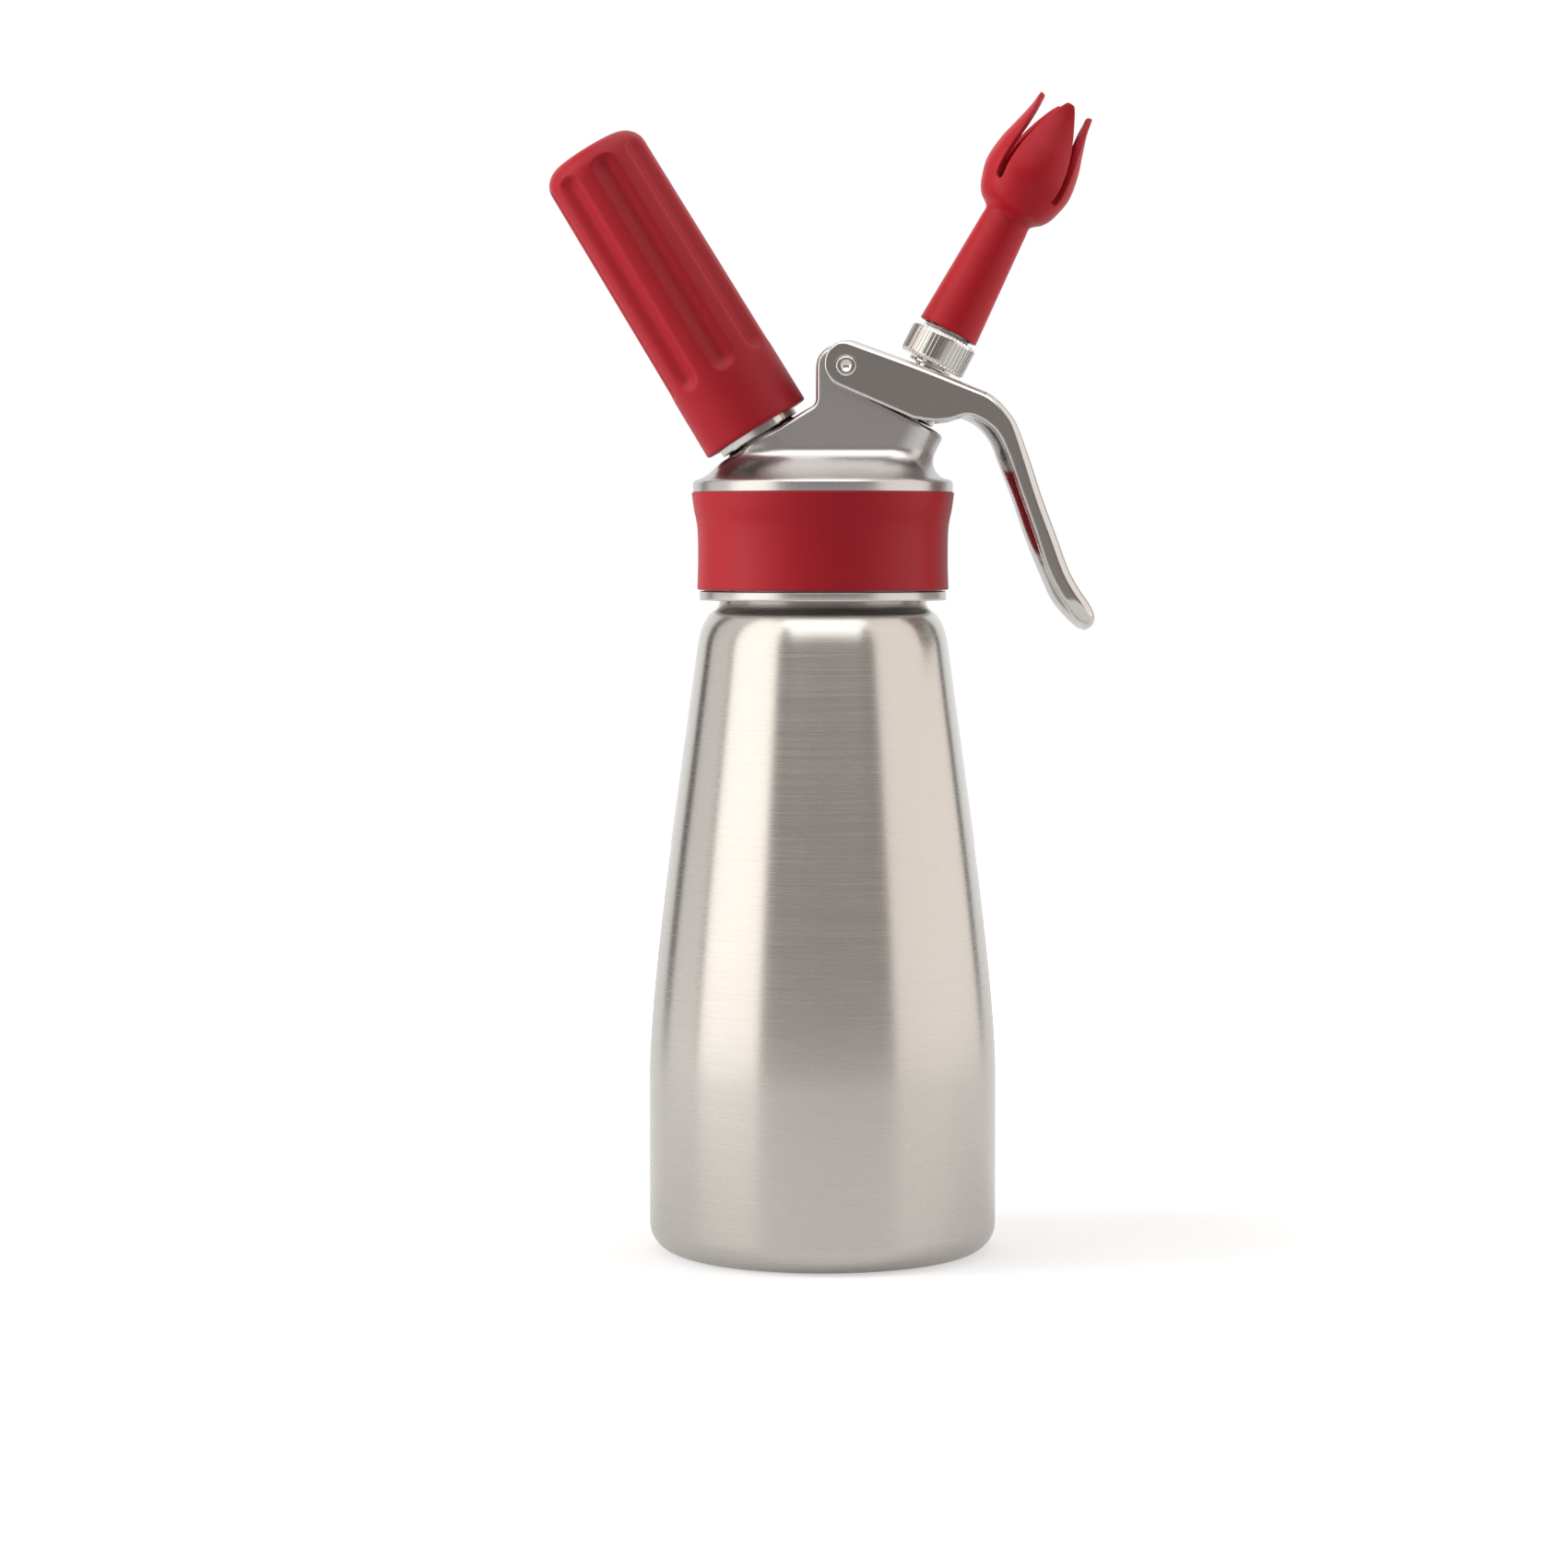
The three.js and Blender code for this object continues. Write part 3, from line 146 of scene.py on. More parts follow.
# Piercing pin, gas bore and check valve
PIERCER_START, PIERCER_TOP, PIERCER_TIP = 1, 9, 12.4
PIERCER_HOLE, PIERCER_RADIUS, PIERCER_POINT, PIERCER_END = 0.4, 0.9, 1.2, 0.47
NECK_SEAL_BORE, NECK_SEAL_THICK = 2, 1.6
GAS_BORE, VALVE_RADIUS, VALVE_CAP, VALVE_STEM = 1.6, 3.6, 0.9, 3
VALVE_EDGES = [0, 0.3, 0.2, 0.2, 0.2, 0]

# Collar
WAIST_SHARE = 0.3
COLLAR_TOP, COLLAR_WAIST, COLLAR_BOTTOM, COLLAR_EDGE = 31.75, 30.2, 30.4, 0.5
COLLAR_TAPER, COLLAR_FOOT, COLLAR_FLARE, COLLAR_BROW = 0.12, 3.5, 0.55, 4
GAP = 0.3

# Lever; reach and drop run from the pin to the handle's tip
REACH, DROP = 60, 64
HALF_GAP, CHEEK, PLATE = 9.5, 1.9, 1.9
HALF_WIDTH = HALF_GAP + CHEEK
REAR_RADIUS, REAR_CENTRE, REAR_FROM, REAR_TO, REAR_STEPS = 5.7, (0.5, 0.55), -118, -288, 44
CHANNEL_END, CHANNEL_ROUND, CHANNEL_EDGE, TIP_CORNER, TIP_MARGIN = 28, 1.5, 0.8, 9, 0.3
LEVER_LOW, LEVER_HIGH, LEVER_STEP = (-7, -13, -67), (63, 13, 8), 0.36
TOP_SHARES = [(0.042, -0.092), (0.305, -0.0015), (0.559, 0.0935)]
OUTER_SHARES = [(0.559, 0.0935), (0.589, 0.1115), (0.618, 0.135), (0.646, 0.165), (0.676, 0.204),
                (0.737, 0.351), (0.787, 0.492), (0.842, 0.63), (0.897, 0.767), (0.94, 0.8375),
                (0.966, 0.872), (0.988, 0.906), (1, 0.942), (0.991, 0.977), (0.96, 1)]
INNER_SHARES = [(0.96, 1), (0.907, 0.925), (0.85, 0.845), (0.808, 0.767), (0.752, 0.614),
                (0.697, 0.47), (0.64, 0.319), (0.605, 0.253), (0.555, 0.209), (0.488, 0.183),
                (0.415, 0.2), (0.352, 0.205), (0.27, 0.195)]
SPINE_SHARES = [(0.96, 1), (0.885, 0.935), (0.832, 0.873), (0.78, 0.769), (0.72, 0.63), (0.668, 0.489),
                (0.611, 0.35), (0.581, 0.28), (0.52, 0.215), (0.45, 0.19), (0.415, 0.2),
                (0.352, 0.205), (0.27, 0.195)]
SLOT_RADIUS, SLOT_TRAVEL = 5, 1.2
# Rounding of the lever's upper edge, of the handle's outer edge and of the thin lower rim
EDGE_ROUND, HANDLE_ROUND, RIM_ROUND = 1.9, 3.1, 0.45
EDGE_FADE, HANDLE_START, HANDLE_FADE = 5, 6, 22
BULGE_HALF, BULGE_POWER = 5.6, 2.2

# Piston, seals, spring and cup along the piston's axis
ROD_RADIUS, ROD_BORE, ROD_TOP, FOOT_RADIUS, FOOT_THICK, FOOT_SEAL = 3.5, 2.3, 19.4, 6, 2, 1.4
SEAT_RADIUS, SEAT_RIDGE, SEAT_HEIGHT = 6.8, 25.4, 10
BUSH_RADIUS, BUSH_HEIGHT, SEAL_HEIGHT = 5.2, 3.6, 1.8
WIRE, SPRING_RADIUS, SPRING_COILS, SPRING_KEEP = 1.2, 5.5, 4.5, 0.84
COIL_STEPS, WIRE_SIDES, DEAD_COILS, DEAD_RISE = 40, 12, 0.75, 0.9
CUP_R, CUP_WALL, CUP_LOW, CUP_EDGE, CUP_CROWN, CUP_CROWN_R = 7.4, 0.7, 0.6, 8.4, 9.2, 5.8
CUP_EDGES = [0.1, 0.1, 0.6, 0.8, 0.25, 0.25, 1.2, 1]
CLIP_RADIUS, CLIP_THICK, WASHER_RADIUS, WASHER_START, WASHER_THICK = 4.4, 0.7, 5.4, 13, 0.7

# Gas charger
CHARGER_START, CHARGER_LENGTH, CHARGER_RADIUS = 11.2, 65, 8.9
CHARGER_NECK, CHARGER_NECK_R, CHARGER_SHOULDER, SHOULDER_PULL = 6.5, 4.3, 7.5, 2.5
CHARGER_HOLE, CHARGER_WALL, CHARGER_END = 1.4, 1.7, 4.9

# Grip over the charger's holder
GRIP_WALL, FLUTE_HALF, FLUTE_LIP, FLUTE_END, FLUTE_TOP = 2.5, 3.6, 2.6, 18.2, 3.4
GRIP_START, GRIP_BASE, GRIP_TOP, GRIP_EDGE, GRIP_INNER = 2.4, 13.7, 13.1, 5.4, 5
GRIP_ROWS, GRIP_ARC, FLUTE_SIDES, CROWN_HOLE = 90, 26, 36, 0.02
FLUTES, FLUTE_DEPTH, FLUTE_TURN, FLUTE_POWER = 8, 1.5, 7, 0.8
SHELL_INNER, SHELL_WALL, SHELL_RIM, SHELL_TOP, SHELL_CROWN = 9.3, 1.1, 0.6, 78, 1.5
HOLDER_ROWS, HOLDER_LEAD, HOLDER_HIGH, HOLDER_THREAD = 20, 0.6, 17, 0.45

# Adapter and tip
ADAPTER_START, ADAPTER_TOP, ADAPTER_RADIUS, ADAPTER_CHAMFER = 14, 21.7, 8.2, 0.6
KNURLS, KNURL_DEPTH, KNURL_SIDES, ADAPTER_INSET = 48, 0.5, 12, 0.6
VALLEY_START, VALLEY_SHARE = 0.3, 0.5
SPIGOT_RADIUS, SPIGOT_TOP, SPIGOT_BORE, SPIGOT_LEAD = 4.5, 31, 2.6, 0.6
SPIGOT_FOOT, SPIGOT_THREAD = 0.8, 0.45
TIP_START, TIP_BASE, STEM_RADIUS, STEM_TOP = 22.8, 7.5, 5.9, 53.6
BULB_RADIUS, PETAL_TIP, TIP_WALL, SLIT_START, PETAL_TURN = 11.1, 83.8, 1.6, 61, 6
TIP_BEND, STEM_BEND, STEM_END, CAVITY_START = 9, 11, 2.5, 1.2
SLIT_HALF, PETAL_HALF, SLIT_SPREAD, SLIT_POWER, SLIT_SINK = 0.9, 0.85, 0.3, 3.6, 0.6
TIP_REACH, TIP_STEP = 12.5, 0.27
POCKET_RADIUS, POCKET_TOP, CHANNEL_RADIUS = 6.05, 31.9, 3.2
INSERT_INNER, INSERT_OUTER, TIP_SEAL = 4.85, 5.75, 0.5
BULB_SHARES = [(0.0, 0.53), (0.03, 0.6), (0.07, 0.74), (0.13, 0.85), (0.2, 0.92), (0.34, 1), (0.54, 0.94),
               (0.71, 0.81), (0.87, 0.69), (0.95, 0.655), (1, 0.635)]

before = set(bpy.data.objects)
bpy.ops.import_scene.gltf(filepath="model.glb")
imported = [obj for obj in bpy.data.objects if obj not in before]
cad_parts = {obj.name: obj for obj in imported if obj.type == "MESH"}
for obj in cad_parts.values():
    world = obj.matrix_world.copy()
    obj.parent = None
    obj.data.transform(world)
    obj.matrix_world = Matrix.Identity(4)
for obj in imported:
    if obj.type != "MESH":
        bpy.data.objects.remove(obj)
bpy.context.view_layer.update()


# Curves and meshes

def spline(points, steps):
    """Smooth run of points through the given ones, with centripetal spacing."""
    pts = np.array(points, float)
    first, last = 2 * pts[0] - pts[1], 2 * pts[-1] - pts[-2]
    pts = np.vstack([first, pts, last])
    out = []
    for i in range(1, len(pts) - 2):
        p0, p1, p2, p3 = pts[i - 1:i + 3]
        t0, t1 = 0, math.sqrt(np.linalg.norm(p1 - p0))
        t2 = t1 + math.sqrt(np.linalg.norm(p2 - p1))
        t3 = t2 + math.sqrt(np.linalg.norm(p3 - p2))
        for t in np.linspace(t1, t2, steps, endpoint=False):
            a1 = (t1 - t) / (t1 - t0) * p0 + (t - t0) / (t1 - t0) * p1
            a2 = (t2 - t) / (t2 - t1) * p1 + (t - t1) / (t2 - t1) * p2
            a3 = (t3 - t) / (t3 - t2) * p2 + (t - t2) / (t3 - t2) * p3
            b1 = (t2 - t) / (t2 - t0) * a1 + (t - t0) / (t2 - t0) * a2
            b2 = (t3 - t) / (t3 - t1) * a2 + (t - t1) / (t3 - t1) * a3
            out.append((t2 - t) / (t2 - t1) * b1 + (t - t1) / (t2 - t1) * b2)
    out.append(pts[-2])
    return np.array(out)


def bezier(points, steps):
    """Points of a Bezier curve without its first point."""
    pts = [np.array(p, float) for p in points]
    out = []
    for t in np.linspace(0, 1, steps + 1)[1:]:
        row = pts
        while len(row) > 1:
            row = [a + (b - a) * t for a, b in zip(row, row[1:])]
        out.append(tuple(row[0]))
    return out


def arc(centre, radius, start, end, steps):
    """Points of an arc in (radius, height); angles in degrees."""
    turns = np.radians(np.linspace(start, end, steps + 1))
    return [(centre[0] + radius * math.cos(t), centre[1] + radius * math.sin(t)) for t in turns]


def rounded(points, radius, steps=4):
    """Closed outline with every corner rounded off by short curves."""
    out = []
    count = len(points)
    for i in range(count):
        p = np.array(points[i], float)
        before, after = np.array(points[i - 1], float), np.array(points[(i + 1) % count], float)
        size = radius[i] if isinstance(radius, (list, tuple)) else radius
        if size <= 0:
            out.append(tuple(p))
            continue
        a = p + (before - p) * min(size / np.linalg.norm(before - p), CORNER_SHARE)
        b = p + (after - p) * min(size / np.linalg.norm(after - p), CORNER_SHARE)
        out.append(tuple(a))
        out.extend(bezier([a, p, b], steps))
    return out


def eased(share):
    """Share held between nought and one, with a smooth start and end."""
    share = np.clip(share, 0, 1)
    return share * share * (3 - 2 * share)


def linked(name, data):
    """New object in the scene."""
    obj = bpy.data.objects.new(name, data)
    bpy.context.scene.collection.objects.link(obj)
    return obj


def mesh_piece(name, verts, faces, sharp=SHARP):
    """Object from corners in millimetres."""
    mesh = bpy.data.meshes.new(name)
    faces = np.asarray(faces)
    verts = np.asarray(verts, float) * MM
    mesh.vertices.add(len(verts))
    mesh.vertices.foreach_set("co", verts.astype(np.float32).ravel())
    sides = faces.shape[1]
    mesh.loops.add(faces.size)
    mesh.loops.foreach_set("vertex_index", faces.astype(np.int32).ravel())
    mesh.polygons.add(len(faces))
    mesh.polygons.foreach_set("loop_start", np.arange(0, faces.size, sides, dtype=np.int32))
    mesh.update(calc_edges=True)
    mesh.validate()
    mesh.shade_smooth()
    mesh.set_sharp_from_angle(angle=math.radians(sharp))
    return linked(name, mesh)


def grid_faces(rows, around, closed_rows):
    """Quads between neighbouring rows of corners."""
    faces = []
    last = rows if closed_rows else rows - 1
    i = np.arange(around)
    j = (i + 1) % around
    for k in range(last):
        n = (k + 1) % rows
        faces.append(np.stack([k * around + i, k * around + j, n * around + j, n * around + i], 1))
    return np.vstack(faces)


def turned(name, outline, sides=ROUND, sharp=SHARP, bump=None):
    """Piece turned about Z from a closed outline of (radius, height); a bump adds to the radius."""
    pts = np.array(outline, float)
    turn = np.arange(sides) * TAU / sides
    radius = np.repeat(np.maximum(pts[:, :1], HAIR), sides, 1)
    height = np.repeat(pts[:, 1:], sides, 1)
    if bump:
        radius = radius + bump(radius, height, turn[None, :])
    verts = np.stack([radius * np.cos(turn), radius * np.sin(turn), height], 2).reshape(-1, 3)
    return outward(mesh_piece(name, verts, grid_faces(len(pts), sides, True), sharp))


def ring(name, inner, outer, low, thick, edge=FINE, sides=SMALL_ROUND, sharp=SHARP):
    """Plain ring with rounded edges."""
    corners = [(inner, low), (outer, low), (outer, low + thick), (inner, low + thick)]
    return turned(name, rounded(corners, edge), sides, sharp)


def outward(obj):
    """Turns the faces out when the mesh encloses a negative volume."""
    mesh = obj.data
    mesh.calc_loop_triangles()
    co = np.zeros(len(mesh.vertices) * 3)
    mesh.vertices.foreach_get("co", co)
    co = co.reshape(-1, 3)
    tri = np.zeros(len(mesh.loop_triangles) * 3, np.int32)
    mesh.loop_triangles.foreach_get("vertices", tri)
    a, b, c = (co[tri.reshape(-1, 3)[:, i]] for i in range(3))
    if np.einsum("ij,ij->i", a, np.cross(b, c)).sum() < 0:
        mesh.flip_normals()
    return obj


def place(obj, foot, lean):
    """Stands a piece on one of the head's leaning axes."""
    obj.matrix_world = Matrix.Translation(Vector(foot) * MM) @ Matrix.Rotation(math.radians(lean), 4, "Y")
    return obj


def on_holder(obj):
    return place(obj, HOLDER_FOOT, HOLDER_LEAN)


def on_piston(obj):
    return place(obj, PISTON_FOOT, PISTON_LEAN)


def dress(obj, body, material, slot, *nodes):
    """Gives a piece its material, the body that it moves with and the nodes that it stands for."""
    obj.data.materials.append(material)
    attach(obj, body)
    if nodes:
        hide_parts(*nodes)
    return obj


# Distance fields and their surfaces

def round_max(a, b, radius):
    """Both at once: where the two solids overlap, with the edge rounded."""
    corner = np.hypot(np.maximum(a + radius, 0), np.maximum(b + radius, 0))
    return np.minimum(np.maximum(a, b), -radius) + corner


def round_min(a, b, radius):
    """Either: the two solids joined, with a fillet."""
    return -round_max(-a, -b, radius)


def line_distance(x, z, line):
    """Distance from points to an open run of points."""
    best = np.full(x.shape, FAR)
    for (ax, az), (bx, bz) in zip(line[:-1], line[1:]):
        ex, ez = bx - ax, bz - az
        t = np.clip(((x - ax) * ex + (z - az) * ez) / max(ex * ex + ez * ez, NIL), 0, 1)
        best = np.minimum(best, (x - ax - t * ex) ** 2 + (z - az - t * ez) ** 2)
    return np.sqrt(best)


def outline_distance(x, z, outline):
    """Signed distance from points to a closed outline, negative inside."""
    line = np.vstack([outline, outline[:1]])
    inside = np.zeros(x.shape, bool)
    for (ax, az), (bx, bz) in zip(line[:-1], line[1:]):
        if az != bz:
            inside ^= ((az > z) != (bz > z)) & (x < (bx - ax) * (z - az) / (bz - az) + ax)
    return np.where(inside, -1, 1) * line_distance(x, z, line)


def sampled(outline, step, measure=outline_distance):
    """A distance to an outline, measured once on a fine grid and read off between its points."""
    low, high = np.min(outline, 0) - SAMPLE_MARGIN, np.max(outline, 0) + SAMPLE_MARGIN
    xs, zs = np.arange(low[0], high[0], step), np.arange(low[1], high[1], step)
    table = measure(*np.meshgrid(xs, zs, indexing="ij"), outline)

    def read(x, z):
        u = np.clip((x - xs[0]) / step, 0, len(xs) - 1 - LAST_GAP)
        v = np.clip((z - zs[0]) / step, 0, len(zs) - 1 - LAST_GAP)
        i, j = u.astype(int), v.astype(int)
        u, v = u - i, v - j
        near = table[i, j] * (1 - v) + table[i, j + 1] * v
        far = table[i + 1, j] * (1 - v) + table[i + 1, j + 1] * v
        return near * (1 - u) + far * u

    return read


def surface(name, field, low, high, step, rounds=4):
    """Closed quad mesh where a distance field is zero, settled onto the field."""
    axes = [np.arange(a, b + step, step) for a, b in zip(low, high)]
    grid = np.meshgrid(*axes, indexing="ij")
    value = field(*grid)
    inside = value < 0
    cell = tuple(n - 1 for n in value.shape)
    count = np.zeros(cell, np.int8)
    corners = [(i, j, k) for i in (0, 1) for j in (0, 1) for k in (0, 1)]
    for i, j, k in corners:
        count += inside[i:i + cell[0], j:j + cell[1], k:k + cell[2]]
    active = (count > 0) & (count < 8)
    index = np.full(cell, -1, np.int32)
    index[active] = np.arange(active.sum())
    cells = np.argwhere(active)
    total = np.zeros((len(cells), 3))
    hits = np.zeros(len(cells))
    for a in corners:
        for d in range(3):
            if a[d]:
                continue
            b = list(a)
            b[d] = 1
            va = value[tuple((cells + a).T)]
            vb = value[tuple((cells + b).T)]
            cross = (va < 0) != (vb < 0)
            t = np.where(cross, va / np.where(cross, va - vb, 1), 0)
            point = np.array(a, float) + t[:, None] * (np.array(b) - np.array(a))
            total += point * cross[:, None]
            hits += cross
    verts = np.array([ax[0] for ax in axes]) + (cells + total / hits[:, None]) * step
    faces = []
    for d in range(3):
        u, v = (d + 1) % 3, (d + 2) % 3
        spots = np.argwhere(np.diff(inside, axis=d))
        keep = (spots[:, u] > 0) & (spots[:, v] > 0)
        keep &= (spots[:, u] < value.shape[u] - 1) & (spots[:, v] < value.shape[v] - 1)
        spots = spots[keep]
        eu, ev = np.eye(3, dtype=int)[u], np.eye(3, dtype=int)[v]
        quad = np.stack([index[tuple((spots - du * eu - dv * ev).T)]
                         for du, dv in ((0, 0), (1, 0), (1, 1), (0, 1))], 1)
        flip = inside[tuple(spots.T)]
        quad[~flip] = quad[~flip][:, ::-1]
        faces.append(quad)
    nudge = step * NUDGE_SHARE
    for _ in range(rounds):
        here = field(*verts.T)
        slope = np.stack([field(*(verts + nudge * e).T) - field(*(verts - nudge * e).T)
                          for e in np.eye(3)], 1) / (2 * nudge)
        size = np.maximum((slope ** 2).sum(1), LEAST_SLOPE)
        move = -(here / size)[:, None] * slope
        reach = np.linalg.norm(move, axis=1, keepdims=True)
        verts = verts + move * np.minimum(1, MOVE_SHARE * step / np.maximum(reach, NIL))
    return outward(mesh_piece(name, verts, np.vstack(faces), NEVER_SHARP))


# Camera

def make_camera():
    data = bpy.data.cameras.new("camera")
    data.sensor_width = SENSOR
    data.lens = SENSOR * FOCAL_PX / PHOTO
    data.clip_start, data.clip_end = CLIP_NEAR, CLIP_FAR
    camera = linked("camera", data)
    camera.location = Vector(CAMERA_PLACE) * MM
    camera.rotation_euler = Euler((math.radians(90 - CAMERA_PITCH), 0, 0))
    bpy.context.scene.camera = camera


# Bottle

def thread(low, high, pitch, depth, phase=0.0):
    """Radial share of a screw ridge between two heights that fades in and out."""
    def ridge(height, turn):
        wave = (1 + np.cos(TAU * (height / pitch - turn / TAU + phase))) / 2
        ends = np.clip((height - low) / pitch, 0, 1) * np.clip((high - height) / pitch, 0, 1)
        return depth * wave * ends
    return ridge


def threaded(at, *screw):
    """Bump that puts a screw ridge on the rows of a turned piece at one radius."""
    ridge = thread(*screw)
    return lambda radius, height, turn: np.where(np.abs(radius - at) < HAIR, ridge(height, turn), 0)


def bottle_side(inset):
    """Wall of the bottle from its straight part up to its neck, drawn in by an inset."""
    slope = (BOTTLE_RADIUS - SHOULDER_RADIUS) / (SHOULDER_START - TAPER_START)
    rise = SHOULDER_TOP - SHOULDER_START
    start = (BOTTLE_RADIUS - inset, STRAIGHT_TOP)
    middle = ((BOTTLE_RADIUS + SHOULDER_RADIUS) / 2 + TAPER_BULGE - inset, (TAPER_START + SHOULDER_START) / 2)
    top = (SHOULDER_RADIUS - inset, SHOULDER_START - inset)
    out = [start] + bezier([start, (start[0], TAPER_START), middle], 24) + bezier([middle, top], 8)
    out += bezier([
        top, (top[0] - slope * rise / 2, top[1] + rise / 2),
        ((SHOULDER_RADIUS + SHOULDER_REACH) / 2 - inset, SHOULDER_TOP - SHOULDER_DIP - inset),
        (SHOULDER_REACH - inset, SHOULDER_TOP - inset)], 16)
    neck = NECK_RADIUS - inset
    out += bezier([out[-1], (neck, NECK_FILLET - inset), (neck, NECK_START - inset)], 8)
    return out


def make_bottle(steel):
    corner = arc((BOTTLE_RADIUS - CORNER, CORNER), CORNER, -90, 0, 12)
    inner = CORNER - BOTTLE_WALL
    inner_corner = arc((BOTTLE_RADIUS - CORNER, BOTTLE_FLOOR + inner), inner, 0, -90, 8)
    slope_middle, slope_end = RECESS_RADIUS - RECESS_SLOPE / 2, RECESS_RADIUS - RECESS_SLOPE
    recess = bezier([(slope_end, RECESS_DEPTH), (slope_middle, RECESS_DEPTH), (slope_middle, 0),
                     (RECESS_RADIUS, 0)], 6)
    outside = bottle_side(0)
    neck = [(NECK_RADIUS, z) for z in np.arange(NECK_LOW, NECK_HIGH, ROW_STEP)]
    lip = arc((NECK_RADIUS - BOTTLE_WALL / 2, RIM - BOTTLE_WALL / 2), BOTTLE_WALL / 2, 0, 180, 8)
    inside = bottle_side(BOTTLE_WALL)[::-1]
    outline = [(0, RECESS_DEPTH), (slope_end, RECESS_DEPTH)] + recess + corner
    outline += outside + neck + lip + inside + inner_corner + [(0, BOTTLE_FLOOR + RECESS_DEPTH)]
    screw = threaded(NECK_RADIUS, THREAD_LOW, THREAD_HIGH, THREAD_PITCH, THREAD_DEPTH)
    shell = turned("bottle_shell", outline, bump=screw)
    dress(shell, "bottle", steel, "bottle_steel", "bottle")


def make_gasket(pale):
    outer = CUP_RADIUS - GASKET_GAP
    seal = ring("gasket_ring", GASKET_INNER, outer, RIM + GAP, GASKET_THICK, SOFT, MIDDLE_ROUND, SHARP_SOFT)
    dress(seal, "gasket", pale, "pale_silicone", "head_gasket")


# Head

def make_head_cup(satin):
    skirt_top = SKIRT_BOTTOM + SKIRT_HEIGHT
    skirt = rounded([(CUP_RADIUS + SKIRT_LEAD, SKIRT_BOTTOM), (SKIRT_RADIUS, SKIRT_BOTTOM),
                     (SKIRT_RADIUS, skirt_top), (BARREL_RADIUS, skirt_top), (BARREL_RADIUS, RIM_BOTTOM),
                     (RIM_RADIUS, RIM_BOTTOM)], SKIRT_EDGES)[:-1]
    dome = arc((RIM_RADIUS - RIM_CORNER, COVE_START - RIM_CORNER), RIM_CORNER, 0, 90, 8)
    cavity = [(0, COVE_START), (0, CAVITY_TOP), (CAVITY_RADIUS, CAVITY_TOP), (CAVITY_RADIUS, GASKET_TOP),
              (CUP_RADIUS, GASKET_TOP)]
    inside = [(CUP_RADIUS, z) for z in np.arange(CUP_ROWS_HIGH, CUP_ROWS_LOW, -ROW_STEP)]
    screw = threaded(CUP_RADIUS, CUP_THREAD_LOW, CUP_THREAD_HIGH, THREAD_PITCH, -THREAD_DEPTH, HALF_TURN)
    cup = turned("head_cup", skirt + dome + cavity + inside, bump=screw)
    dress(cup, "head", satin, "head_steel", "head_body")


def trim_outline():
    """Side outline of the slab: charger face, lug round the pin, piston face."""
    far = RIM_RADIUS + TRIM_MARGIN
    rear, front = PIVOT[0] - LUG_REAR, PIVOT[0] + LUG_RADIUS

    def face(x):
        return HOLDER_FOOT[2] + (x - HOLDER_FOOT[0]) * CLIMB

    def top(x):
        return PISTON_FOOT[2] - (x - PISTON_FOOT[0]) * FALL

    lug = arc((rear + LUG_BEND, PIVOT[1]), LUG_BEND, 180, 90, 16)
    lug += arc(PIVOT, LUG_RADIUS, 90, 0, 16)
    points = [(-far, SKIRT_BOTTOM), (-far, face(-far)), (rear, face(rear))] + lug
    points += [(front, top(front)), (far, top(far)), (far, SKIRT_BOTTOM)]
    radii = [0, 0, LUG_FOOT] + [0] * len(lug) + [LUG_FRONT, 0, 0]
    return np.array(rounded(points, radii, 8))


def axis_coordinates(x, z, y, foot, lean):
    """Radius, height and turn of points about one of the leaning axes."""
    turn = math.radians(lean)
    dx, dz = x - foot[0], z - foot[2]
    along = dx * math.sin(turn) + dz * math.cos(turn)
    across = dx * math.cos(turn) - dz * math.sin(turn)
    return np.hypot(across, y), along, np.arctan2(y, across)


